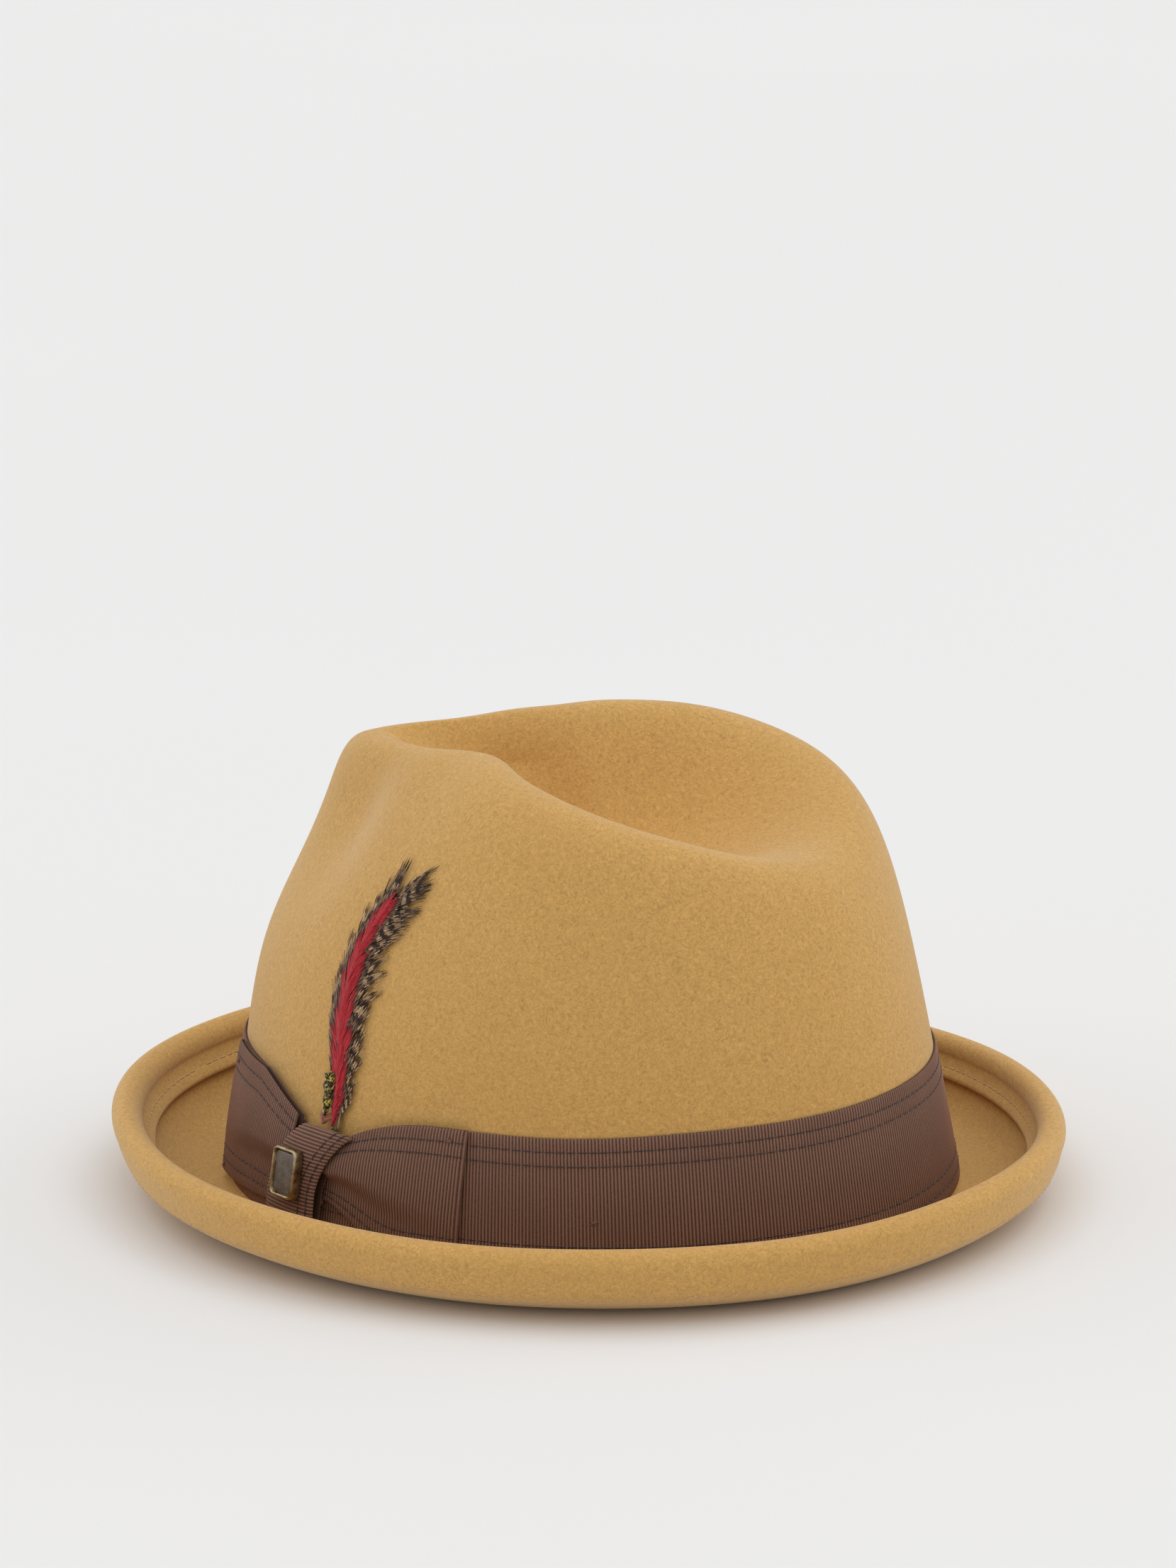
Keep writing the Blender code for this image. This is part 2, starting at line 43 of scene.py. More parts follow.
# Shape of the hat, as in the CAD: one wall surface that everything is placed on
OVAL_FRONT, OVAL_SIDE = 103 * MM, 86 * MM
FOOT = 3 * MM
FELT = 2 * MM
TAPER = 0.16
RIM_SHARE = (0.632, 0.407, 0.453, 0.693, 0.675)
RIM_HEIGHT = (0.1188, 0.1220, 0.1226, 0.1099, 0.0984)
WALL_RISE = (0.0573, 0.0604, 0.0687, 0.0803, 0.0851)
SHOULDER = (0.0286, 0.0213, 0.0264, 0.0162, 0.0148)
BOWL_LIP = (0.0102, 0.0104, 0.0131, 0.0133, 0.0156)
BOWL_FLAT = (0.0240, 0.0220, 0.0240, 0.0260, 0.0300)
BOWL_CENTRE = np.array((-0.014, 0.0, 0.088))
PINCH_ANGLE, PINCH_SPREAD = 20.7, 22.7
PINCH_HEIGHT, PINCH_REACH, PINCH_DEPTH = 0.1016, 0.0250, 0.0172

RNG = np.random.default_rng(7)


def unit(vectors):
    """The same vectors, one unit long."""
    return vectors / np.maximum(np.linalg.norm(vectors, axis=-1), 1e-12)[..., None]


def full_turn(count):
    """Evenly spaced angles (radians) once around."""
    return np.linspace(0, 2 * np.pi, count, endpoint=False)


def oval(angle):
    """Points of the crown's foot line at plan angles (radians), and the unit directions out of it."""
    c, s = np.cos(angle), np.sin(angle)
    foot = np.stack([OVAL_FRONT * c, OVAL_SIDE * s, 0 * c], -1)
    return foot, unit(np.stack([OVAL_SIDE * c, OVAL_FRONT * s, 0 * c], -1))


def even_wave(values, angle):
    """Smooth curve over the plan angle, the same on both sides, through evenly spaced values."""
    count = len(values)
    at = np.linspace(0.0, math.pi, count)
    order = np.arange(count)
    weights = np.linalg.solve(np.cos(np.outer(at, order)), np.array(values))
    return np.cos(np.outer(angle, order)) @ weights


def bezier(a, b, c, d, s):
    s = np.asarray(s)[None, :, None]
    return (1 - s) ** 3 * a + 3 * (1 - s) ** 2 * s * b + 3 * (1 - s) * s ** 2 * c + s ** 3 * d


def crown(angle, wall_steps, bowl_steps):
    """Grid of points (angle, step) on the crown's outside above the wall's foot: the wall, then the bowl."""
    foot, out = oval(angle)
    shapes = (RIM_SHARE, RIM_HEIGHT, WALL_RISE, SHOULDER, BOWL_LIP, BOWL_FLAT)
    share, height, rise, shoulder, lip, flat = (even_wave(v, angle)[:, None] for v in shapes)
    up = np.array([[0.0, 0.0, 1.0]])
    rim = foot * share + up * height
    toward = unit((rim - BOWL_CENTRE) * [1, 1, 0])

    def curve(*handles, steps):
        return bezier(*(h[:, None, :] for h in handles), steps)

    wall = curve(foot, foot + up * rise - out * TAPER * rise, rim + out * shoulder, rim, steps=wall_steps)
    centre = np.broadcast_to(BOWL_CENTRE, rim.shape)
    bowl = curve(rim, rim - out * lip, centre + toward * flat, centre, steps=bowl_steps)
    grid = np.concatenate([wall, bowl], 1)
    fade = np.concatenate([np.ones(len(wall_steps)), np.clip(1 - 2.5 * np.asarray(bowl_steps), 0, 1)])
    off_front = np.abs((np.degrees(angle) + 180) % 360 - 180)
    side = np.exp(-(((off_front - PINCH_ANGLE) / PINCH_SPREAD) ** 2))
    high = np.exp(-(((grid[..., 2] - PINCH_HEIGHT) / PINCH_REACH) ** 2))
    return grid - out[:, None] * (PINCH_DEPTH * side[:, None] * high * fade)[..., None]


def grid_normals(grid, closed):
    """Unit normals of a grid of points (around, along), facing out of the hat."""
    if closed:
        around = np.roll(grid, -1, 0) - np.roll(grid, 1, 0)
    else:
        around = np.gradient(grid, axis=0)
    return unit(np.cross(around, np.gradient(grid, axis=1)))


class Skin:
    """The wall's outside as a table over plan angle (degrees) and height, read with smooth lookup."""

    def __init__(self):
        self.columns = 1440
        steps = np.linspace(0, 1, 241)
        wall = crown(full_turn(self.columns), steps, np.array([0.0]))[:, :len(steps)]
        normal = grid_normals(wall, True)
        self.step = 0.5 * MM
        self.heights = np.arange(0.0, 0.112, self.step)
        self.table = np.empty((self.columns, len(self.heights), 6))
        for i in range(self.columns):
            z = np.maximum.accumulate(wall[i, :, 2])
            for k in range(3):
                self.table[i, :, k] = np.interp(self.heights, z, wall[i, :, k])
                self.table[i, :, 3 + k] = np.interp(self.heights, z, normal[i, :, k])

    def __call__(self, angle, height, stand):
        angle, height, stand = np.broadcast_arrays(*(np.asarray(v, float) for v in (angle, height, stand)))
        a = (angle % 360.0) / 360.0 * self.columns
        h = np.clip(height / self.step, 0, len(self.heights) - 1.001)
        a0, h0 = np.floor(a).astype(int), np.floor(h).astype(int)
        fa, fh = (a - a0)[..., None], (h - h0)[..., None]
        a0 %= self.columns
        a1 = (a0 + 1) % self.columns
        t = self.table
        v = ((t[a0, h0] * (1 - fa) + t[a1, h0] * fa) * (1 - fh)
             + (t[a0, h0 + 1] * (1 - fa) + t[a1, h0 + 1] * fa) * fh)
        point = v[..., :3].copy()
        point[..., 2] += FOOT + np.minimum(height, 0)
        return point + unit(v[..., 3:]) * stand[..., None]

    def axes(self, angle, height, stand):
        """Point, and unit directions around, up and out there."""
        p = self(angle, height, stand)
        out = unit(self(angle, height, stand + MM) - p)
        around = unit(self(angle + 0.2, height, stand) - self(angle - 0.2, height, stand))
        return p, around, np.cross(out, around), out


skin = Skin()


# Mesh helpers

def add_object(name, data):
    made = bpy.data.objects.new(name, data)
    bpy.context.scene.collection.objects.link(made)
    return made


def new_mesh(name, points, faces, material):
    """Smooth mesh object from points and a list of (n, k) face arrays, with its faces turned outward."""
    arrays = [np.asarray(a, np.int32) for a in faces]
    points = np.asarray(points, np.float32)
    loops = np.concatenate([a.ravel() for a in arrays])
    counts = np.concatenate([np.full(len(a), a.shape[1], np.int32) for a in arrays])
    starts = np.concatenate([[0], np.cumsum(counts)[:-1]]).astype(np.int32)
    mesh = bpy.data.meshes.new(name)
    mesh.vertices.add(len(points))
    mesh.vertices.foreach_set("co", points.ravel())
    mesh.loops.add(len(loops))
    mesh.loops.foreach_set("vertex_index", loops.astype(np.int32))
    mesh.polygons.add(len(counts))
    mesh.polygons.foreach_set("loop_start", starts)
    mesh.polygons.foreach_set("use_smooth", np.full(len(counts), True))
    mesh.update(calc_edges=True)
    mesh.validate()
    shape = bmesh.new()
    shape.from_mesh(mesh)
    bmesh.ops.recalc_face_normals(shape, faces=shape.faces)
    shape.to_mesh(mesh)
    shape.free()
    mesh.materials.append(material)
    return add_object(name, mesh)


def add_piece(name, parts, material, slot, replaced="", body="hat", **values):
    """Piece from (points, faces) that rides on a body. values are numbers per vertex for its material."""
    piece = new_mesh(name, *parts, material)
    for key, numbers in values.items():
        attribute = piece.data.attributes.new(key, "FLOAT", "POINT")
        attribute.data.foreach_set("value", np.asarray(numbers, np.float32).ravel())
    if replaced:
        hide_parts(replaced)
    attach(piece, body)


def quads(rows, columns, wrap_rows=False, wrap_columns=False):
    """Quads of a grid stored row by row."""
    r = np.arange(rows if wrap_rows else rows - 1)
    c = np.arange(columns if wrap_columns else columns - 1)
    r, c = (x.ravel() for x in np.meshgrid(r, c, indexing="ij"))
    r1, c1 = (r + 1) % rows, (c + 1) % columns
    return np.stack([r * columns + c, r * columns + c1, r1 * columns + c1, r1 * columns + c], -1)


def tube_grid(grid, closed=False):
    """Points and faces of a tube from its rings of points (along, around): a loop, or with flat ends."""
    n, k = grid.shape[:2]
    faces = [quads(n, k, closed, True)]
    if not closed:
        ring = np.arange(k)[None]
        faces += [ring[:, ::-1], ring + (n - 1) * k]
    return grid.reshape(-1, 3), faces


def join_parts(parts):
    """Stacks (points, list of face arrays) pairs into one."""
    points, faces, base = [], {}, 0
    for p, fs in parts:
        points.append(p)
        for f in fs:
            faces.setdefault(f.shape[1], []).append(f + base)
        base += len(p)
    return np.concatenate(points), [np.concatenate(v) for v in faces.values()]


def tube_parts(path, radius, sides=6, closed=False, flat=1.0, hint=(0.3, 0.2, 0.9)):
    """Points and faces of a tube along a path. radius is one number or one per point."""
    if closed:
        tangent = np.roll(path, -1, 0) - np.roll(path, 1, 0)
    else:
        tangent = np.gradient(path, axis=0)
    tangent = unit(tangent)
    side = unit(np.cross(tangent, hint))
    up = np.cross(side, tangent)
    turns = full_turn(sides)[None, :, None]
    ring = side[:, None] * np.cos(turns) + up[:, None] * np.sin(turns) * flat
    r = np.broadcast_to(np.asarray(radius, float), (len(path),))[:, None, None]
    return tube_grid(path[:, None] + ring * r, closed)


# Material helpers

class Nodes:
    """Short calls for building one material's node tree."""

    def __init__(self, name, roughness, metallic=0.0, sheen=0.0, sheen_roughness=None, tint=None,
                 specular=None):
        self.material = bpy.data.materials.new(name)
        self.material.use_nodes = True
        self.tree = self.material.node_tree
        self.shader = self.tree.nodes["Principled BSDF"]
        settings = {"Roughness": roughness, "Metallic": metallic, "Sheen Weight": sheen,
                    "Sheen Roughness": sheen_roughness, "Sheen Tint": tint, "Specular IOR Level": specular}
        for socket, value in settings.items():
            if value is not None:
                self.shader.inputs[socket].default_value = value
        self.where = self.tree.nodes.new("ShaderNodeTexCoord").outputs["Object"]

    def put(self, socket, value):
        if isinstance(value, bpy.types.NodeSocket):
            self.tree.links.new(value, socket)
        else:
            socket.default_value = value

    def node(self, kind, inputs=None, **settings):
        made = self.tree.nodes.new(kind)
        for key, value in settings.items():
            setattr(made, key, value)
        for key, value in (inputs or {}).items():
            self.put(made.inputs[key], value)
        return made

    def noise(self, scale, detail=2.0, rough=0.5, distort=0.0, vector=None, out=0):
        inputs = {"Scale": scale, "Detail": detail, "Roughness": rough, "Distortion": distort,
                  "Vector": vector or self.where}
        return self.node("ShaderNodeTexNoise", inputs).outputs[out]

    def stretch(self, vector, scale):
        return self.node("ShaderNodeMapping", {"Vector": vector, "Scale": scale}).outputs[0]

    def math(self, operation, a, b=0.0):
        return self.node("ShaderNodeMath", {0: a, 1: b}, operation=operation).outputs[0]

    def total(self, *pairs):
        """Sum of values, each times its weight."""
        terms = [self.math("MULTIPLY", value, weight) for value, weight in pairs]
        result = terms[0]
        for term in terms[1:]:
            result = self.math("ADD", result, term)
        return result

    def ramp(self, value, stops):
        made = self.tree.nodes.new("ShaderNodeValToRGB")
        elements = made.color_ramp.elements
        while len(elements) < len(stops):
            elements.new(0.5)
        for element, (at, colour) in zip(elements, stops):
            element.position = at
            element.color = (*colour, 1.0)
        self.put(made.inputs[0], value)
        return made.outputs[0]

    def spread(self, value, low, high, to_low=0.0, to_high=1.0):
        inputs = {0: value, 1: low, 2: high, 3: to_low, 4: to_high}
        return self.node("ShaderNodeMapRange", inputs).outputs[0]

    def mix(self, share, a, b, blend="MIX"):
        made = self.tree.nodes.new("ShaderNodeMix")
        made.data_type = "RGBA"
        made.blend_type = blend
        self.put(made.inputs[0], share)
        self.put(made.inputs[6], a if isinstance(a, bpy.types.NodeSocket) else (*a, 1.0))
        self.put(made.inputs[7], b if isinstance(b, bpy.types.NodeSocket) else (*b, 1.0))
        return made.outputs[2]

    def attribute(self, name):
        return self.node("ShaderNodeAttribute", attribute_name=name).outputs["Fac"]

    def bump(self, height, distance, strength):
        inputs = {"Height": height, "Distance": distance, "Strength": strength}
        return self.node("ShaderNodeBump", inputs).outputs[0]

    def done(self, colour, normal, roughness=None):
        self.put(self.shader.inputs["Base Color"], colour)
        self.put(self.shader.inputs["Normal"], normal)
        if roughness:
            self.put(self.shader.inputs["Roughness"], roughness)
        return self.material


FELT_LIT = (0.640, 0.372, 0.119)


def times(colour, factor):
    return tuple(np.minimum(1.0, np.multiply(colour, factor)).tolist())


def felt_material():
    m = Nodes("brushed_felt", 0.95, 0.0, 0.45, 0.45, (1.0, 0.88, 0.68, 1.0), 0.12)
    warped = m.noise(900.0, 1.0)
    swirl = {0: m.noise(260.0, 1.0, out="Color"), "Scale": 0.004}
    swirl = m.node("ShaderNodeVectorMath", swirl, operation="SCALE").outputs[0]
    bend = m.node("ShaderNodeVectorMath", {0: m.where, 1: swirl}, operation="ADD").outputs[0]
    fibre = m.noise(1500.0, 3.0, 0.65, 0.6, bend)
    coarse = m.noise(780.0, 3.0, 0.6, 0.4)
    clouds = m.noise(24.0)
    broad = m.noise(9.0)
    grain = m.spread(m.total((fibre, 0.7), (coarse, 0.3)), 0.34, 0.66)
    stops = ((0.0, 0.74), (0.45, 0.97), (1.0, 1.22))
    colour = m.ramp(grain, [(at, times(FELT_LIT, light)) for at, light in stops])
    mottle = m.spread(m.total((clouds, 0.5), (broad, 0.5)), 0.35, 0.65)
    colour = m.mix(m.total((mottle, 0.22)), colour, times(FELT_LIT, (0.86, 0.83, 0.74)))
    height = m.total((fibre, 0.6), (coarse, 0.6), (warped, 0.25))
    return m.done(colour, m.bump(height, 0.00035, 0.55))


def ribbon_material():
    """Grosgrain: the ribs are in the mesh; a value per vertex is 1 on a crest and 0 between two ribs, and sets
    painted shade: the colour runs from near black between the ribs to light on the crests, and lower values
    paint hidden and under layers darker.
    """
    m = Nodes("grosgrain", 0.62, 0.0, 0.08, 0.4, (1.0, 0.85, 0.75, 1.0), 0.30)
    thread = m.math("SINE", m.total((m.attribute("along"), 2 * math.pi / 0.42)))
    fine = m.noise(2600.0)
    patch = m.noise(60.0, 3.0)
    # colours of the painted shade between the ribs (near black) and of the lit crests
    low, high = np.array((0.028, 0.012, 0.008)), np.array((0.345, 0.170, 0.106))
    colour = m.ramp(m.attribute("rib"), [(0.0, low), (0.55, 0.62 * low + 0.38 * high), (1.0, high)])
    colour = m.mix(m.spread(thread, -1.0, 1.0, 0.0, 0.22), colour, (0.05, 0.024, 0.018))
    colour = m.mix(m.spread(fine, 0.35, 0.7, 0.0, 0.25), colour, (0.30, 0.18, 0.14))
    colour = m.mix(m.spread(patch, 0.4, 0.7, 0.0, 0.18), colour, (0.10, 0.052, 0.04))
    return m.done(colour, m.bump(m.total((thread, 0.25), (fine, 0.5)), 0.00012, 0.5))


def thread_material(name, light, dark):
    m = Nodes(name, 0.75, sheen=0.2)
    twist = m.noise(3800.0, 1.0, 0.5, 1.5)
    colour = m.ramp(m.spread(twist, 0.3, 0.7), [(0.0, dark), (1.0, light)])
    return m.done(colour, m.bump(twist, 0.0001, 0.4))


FELT_MAT = felt_material()
RIBBON_MAT = ribbon_material()
STITCH_DARK = thread_material("dark_thread", (0.060, 0.030, 0.026), (0.018, 0.009, 0.009))
STITCH_TACK = thread_material("tack_thread", (0.30, 0.12, 0.075), (0.10, 0.035, 0.022))
STITCH_TAN = thread_material("tan_thread", (0.78, 0.52, 0.27), (0.42, 0.25, 0.10))
# What a row of stitches around the hat leaves open where it meets itself
ROW_GAP = 2 * MM


# Felt body

# The roll's middle, outward from the wall's foot and above it, and its radius
ROLL_U, ROLL_HEIGHT, ROLL_RADIUS = 26.5 * MM, 15.0 * MM, 4.0 * MM
BRIM_RISE, BRIM_TILT = 1.3 * MM, 1.8 * MM
BRIM_LONG = 1.5 * MM
# Brim section in mm: outward from the wall's foot, and height above it
BRIM_TOP = [(0.0, 1.6), (0.3, 0.75), (1.3, 0.2), (4.5, -0.3), (8.5, -0.75), (12.2, -0.55), (15.6, 0.8),
            (18.6, 3.5), (20.9, 6.5), (22.3, 8.5), (22.2, 8.85), (21.3, 8.5), (20.45, 7.95), (19.9, 7.95),
            (19.5, 8.5), (19.5, 9.1), (20.0, 9.85), (20.75, 10.65), (21.2, 10.95), (21.55, 11.35), (22.2, 12.3)]
BRIM_UNDER = [(28.9, 8.9), (27.6, 6.35), (27.3, 5.95), (26.7, 5.2), (23.8, 3.0), (20.4, 0.9), (16.6, -1.1),
              (12.8, -2.45), (9.0, -3.0), (4.0, -3.0), (1.4, -2.75), (-0.6, -2.5), (-1.7, -1.9), (-2.0, -0.9)]
BRIM_LOW = -3.0


def smooth_line(points, per):
    """Curve through the points, with per steps between each two."""
    p = np.array(points, float)
    p = np.vstack([2 * p[0] - p[1], p, 2 * p[-1] - p[-2]])
    s = np.linspace(0, 1, per, endpoint=False)[:, None]
    line = []
    for a, b, c, d in zip(p, p[1:], p[2:], p[3:]):
        line.append(0.5 * (2 * b + (c - a) * s + (2 * a - 5 * b + 4 * c - d) * s ** 2
                           + (3 * b - a - 3 * c + d) * s ** 3))
    return np.vstack(line + [p[-2][None]])


def brim_section():
    """Closed-over line of the brim: its top, the roll and its underside, never below the resting height."""
    turns = np.radians(np.linspace(200, -28, 15))
    roll = np.array((ROLL_U, ROLL_HEIGHT)) + ROLL_RADIUS * np.stack([np.cos(turns), np.sin(turns)], -1)
    line = smooth_line([*BRIM_TOP, *(roll / MM), *BRIM_UNDER], 4)
    line[:, 1] = np.maximum(line[:, 1], BRIM_LOW)
    return line * MM


def wander(angle, waves, seed):
    """Slow unevenness around the hat, from -1 to 1."""
    rng = np.random.default_rng(seed)
    total = 0.0
    for k in waves:
        total = total + rng.normal() * np.cos(k * angle + rng.uniform(0, 2 * np.pi))
    return total / math.sqrt(len(waves))


def brim_points(angle, u, height):
    """Points of the brim at plan angles (radians); the rolled edge rises at the front and back."""
    angle, u, height = np.broadcast_arrays(angle, u, height)
    foot, out = oval(angle)
    share = np.clip(u / ROLL_U, 0, 1) ** 2 * np.clip((height + FOOT) / (2 * MM), 0, 1)
    rise = BRIM_RISE * np.cos(2 * angle) + BRIM_TILT * np.cos(angle)
    rise = rise + 0.25 * MM * wander(angle, (3, 4, 5, 7), 3)
    longer = (0.22 * MM * wander(angle, (3, 5, 6, 8), 4) + BRIM_LONG * np.cos(angle)) * share
    point = foot + out * (u + longer)[..., None]
    point[..., 2] += height + rise * share + FOOT
    return point


def make_felt():
    """One closed skin: the bowl and wall outside, the brim, and the wall and bowl inside."""
    around = 720
    angle = full_turn(around)
    outside = crown(angle, np.linspace(0.0095, 1.0, 110), np.linspace(0, 1, 64)[1:-1] ** 0.9)
    normal = grid_normals(outside, True)
    fade = np.sin(np.linspace(0, 1, outside.shape[1]) * np.pi)
    ripple = 0.12 * MM * wander(angle, (5, 9, 12), 5)[:, None] * fade
    outside = outside + normal * ripple[..., None]
    inside = outside[:, ::3] - normal[:, ::3] * FELT
    lift = np.array([0, 0, FOOT])
    section = brim_section()
    brim = brim_points(angle[:, None], section[None, :, 0], section[None, :, 1])
    grid = np.concatenate([outside[:, ::-1] + lift, brim, inside + lift], 1)
    size = grid.shape[1]
    pole = BOWL_CENTRE + lift
    points = np.concatenate([grid.reshape(-1, 3), [pole, pole - [0, 0, FELT]]])
    here = np.arange(around) * size
    after = np.roll(here, -1)
    top = here * 0 + around * size
    faces = [quads(around, size, True)[:, ::-1], np.stack([here, after, top], -1),
             np.stack([after + size - 1, here + size - 1, top + 1], -1)]
    add_piece("felt_body_fine", (points, faces), FELT_MAT, "felt", "felt_body")


def stitch_row(point_at, length, pitch, stitch, radius=0.15 * MM, sink=0.0):
    """Tubes for a row of stitches. point_at(s, out) gives points along the row, s in metres."""
    parts = []
    share = np.linspace(0, 1, 7)
    swell = np.sin(share * np.pi)
    for k in range(int(length / pitch)):
        s = (k + 0.5 + RNG.uniform(-0.04, 0.04)) * pitch + (share - 0.5) * stitch
        path = point_at(s, swell ** 0.6 * radius * 0.9 - sink)
        parts.append(tube_parts(path, radius * (0.75 + 0.25 * swell)))
    return join_parts(parts)


def oval_line(stand):
    """Length of the oval that stands off the foot line, and its plan angle (radians) at a distance along it."""
    t = np.linspace(0, 2 * np.pi, 2001)
    p = np.stack([(OVAL_FRONT + stand) * np.cos(t), (OVAL_SIDE + stand) * np.sin(t)], -1)
    steps = np.concatenate([[0], np.cumsum(np.linalg.norm(np.diff(p, axis=0), axis=1))])
    return steps[-1], lambda s: np.interp(s % steps[-1], steps, t)


def make_brim_stitches():
    """The seam that holds the turned-in edge. Each row's place on the brim's section is in mm."""
    for name, u, height, out_u, out_height in (("brim_stitch_inner", 21.2, 10.95, -0.74, 0.67),
                                               ("brim_stitch_outer", 27.35, 6.1, 0.86, -0.51)):
        length, angle_at = oval_line(u * MM)

        def at(s, lift):
            return brim_points(angle_at(s), u * MM + out_u * lift, height * MM + out_height * lift)

        row = stitch_row(at, length - ROW_GAP, 3.0 * MM, 2.3 * MM, 0.19 * MM, 0.02 * MM)
        add_piece(name + "_thread", row, STITCH_TAN, "tan_thread", name)


# Ribbon pieces

RIB = 0.97 * MM
RIB_HIGH = 0.25 * MM
PER_RIB = 6
BAND_FOOT, BAND_TOP = 1.6 * MM, 38.0 * MM
BAND_STAND = 0.95 * MM
ROWS_FROM_EDGE = (3.5 * MM, 7.2 * MM)


def rib_wave(phase):
    """1 on a crest, 0 halfway between two ribs. The ribbon's colour follows it as painted shade, darker between
    the ribs.
    """
    return np.abs(np.cos(np.pi * phase)) ** 1.15


def row_dent(distance):
    """How deep a row of stitches pulls the ribbon in, at a distance from the row."""
    return 0.13 * MM * np.exp(-((distance / (0.4 * MM)) ** 2))


def band_top(angle):
    """Height of the band's upper edge, drawn down behind the knot and a little at the side."""
    top = BAND_TOP + 0.25 * MM * wander(np.radians(angle), (2, 3, 5, 8), 11)
    for middle, before, after, depth in ((66.5, 13.0, 16.0, 11.0), (107.0, 18.0, 20.0, 1.3)):
        top = top - depth * MM * np.exp(-((angle - middle) / np.where(angle < middle, before, after)) ** 2)
    return top


def make_band():
    length, angle_at = oval_line(BAND_STAND)
    ribs = int(round(length / RIB))
    phase = np.arange(ribs * PER_RIB) / PER_RIB
    angle = np.degrees(angle_at(phase / ribs * length))[:, None]
    rib = rib_wave(phase)[:, None]
    low = BAND_FOOT + 0.12 * MM * rib
    high = band_top(angle) + 0.16 * MM * rib
    share = np.array([0, 0.012, 0.05, 0.085, 0.10, 0.115, 0.18, 0.195, 0.21, 0.3, 0.4, 0.5, 0.6, 0.7,
                      0.79, 0.805, 0.82, 0.885, 0.9, 0.915, 0.95, 0.988, 1.0])[None]
    height = low + (high - low) * share
    edge = np.minimum(height - low, high - height)
    dent = sum(row_dent(edge - r) for r in ROWS_FROM_EDGE)
    rounding = 0.25 * MM * np.exp(-edge / (0.25 * MM))
    outer = skin(angle, height, BAND_STAND - RIB_HIGH * (1 - rib) - dent - rounding)
    inner = skin(angle, height[:, ::-1], 0.12 * MM)[:, ::4]
    hidden = np.zeros(inner.shape[:2])
    # the hidden inner side gets a low value: painted shade, coloured darker than the crests
    add_piece("hat_band_ribbon", tube_grid(np.concatenate([outer, inner], 1), True), RIBBON_MAT, "ribbon",
              "hat_band", rib=np.concatenate([rib + 0 * height, hidden + 0.3], 1),
              along=np.concatenate([height / MM, hidden], 1))
    rows = []
    for side in (0, 1):
        for inset in ROWS_FROM_EDGE:
            def at(s, lift):
                a = np.degrees(angle_at(s))
                h = band_top(a) - inset if side else BAND_FOOT + inset
                return skin(a, h, BAND_STAND - 0.13 * MM + lift)

            rows.append(stitch_row(at, length - ROW_GAP, 3.1 * MM, 2.75 * MM))
    add_piece("hat_band_stitches", join_parts(rows), STITCH_DARK, "dark_thread")


BOW_MIDDLE = 64.0
BOW_ENDS = (29.0, 94.2)
LOOP_START = 0.10
LOOP_WIDTH = 37 * MM
LOOP_STAND = 1.75 * MM


def ease(x):
    x = np.clip(x, 0, 1)
    return x * x * (3 - 2 * x)


def loop_place(end, share, across):
    """Plan angle, height and stand on a bow loop. share runs from the knot's middle to the fold, and across
    from the lower edge to the upper one."""
    reach = end - BOW_MIDDLE
    if reach < 0:
        sag = np.sin(np.clip(1 - across, 0, 1) * np.pi * 0.75)
        low = 6.3 - 4.0 * share ** 1.6
        high = 38.4 - 9.4 * (1 - np.clip(share / 0.5, 0, 1)) ** 1.25
    else:
        sag = 1.5 * np.clip(1 - across, 0, 1) ** 0.75
        low = 1.8 + 10.0 * (1 - ease((share - 0.1) / 0.6))
        high = 37.2 - 10.5 * (1 - np.clip((share - 0.2) / 0.8, 0, 1)) ** 2.8
    angle = BOW_MIDDLE + reach * share - np.sign(reach) * sag * ease(share)
    height = (low + (high - low) * across) * MM
    fade = 1 - ease((share - 0.15) / 0.95)
    valley = 0.40 - 0.24 * share
    lobe = ease((across - valley) / 0.20) * (1 - 0.35 * ease((across - 0.62) / 0.38))
    stand = LOOP_STAND + 0.9 * MM * share + fade * (0.3 + 2.9 * lobe) * MM
    stand = stand + 0.35 * MM * np.sin(np.pi * across) * share
    return angle, height, stand


def back_stand(stand):
    """Stand-off of the ribbon's way back, beneath the layer that stands off so far."""
    return 1.25 * MM + (stand - LOOP_STAND) * 0.35


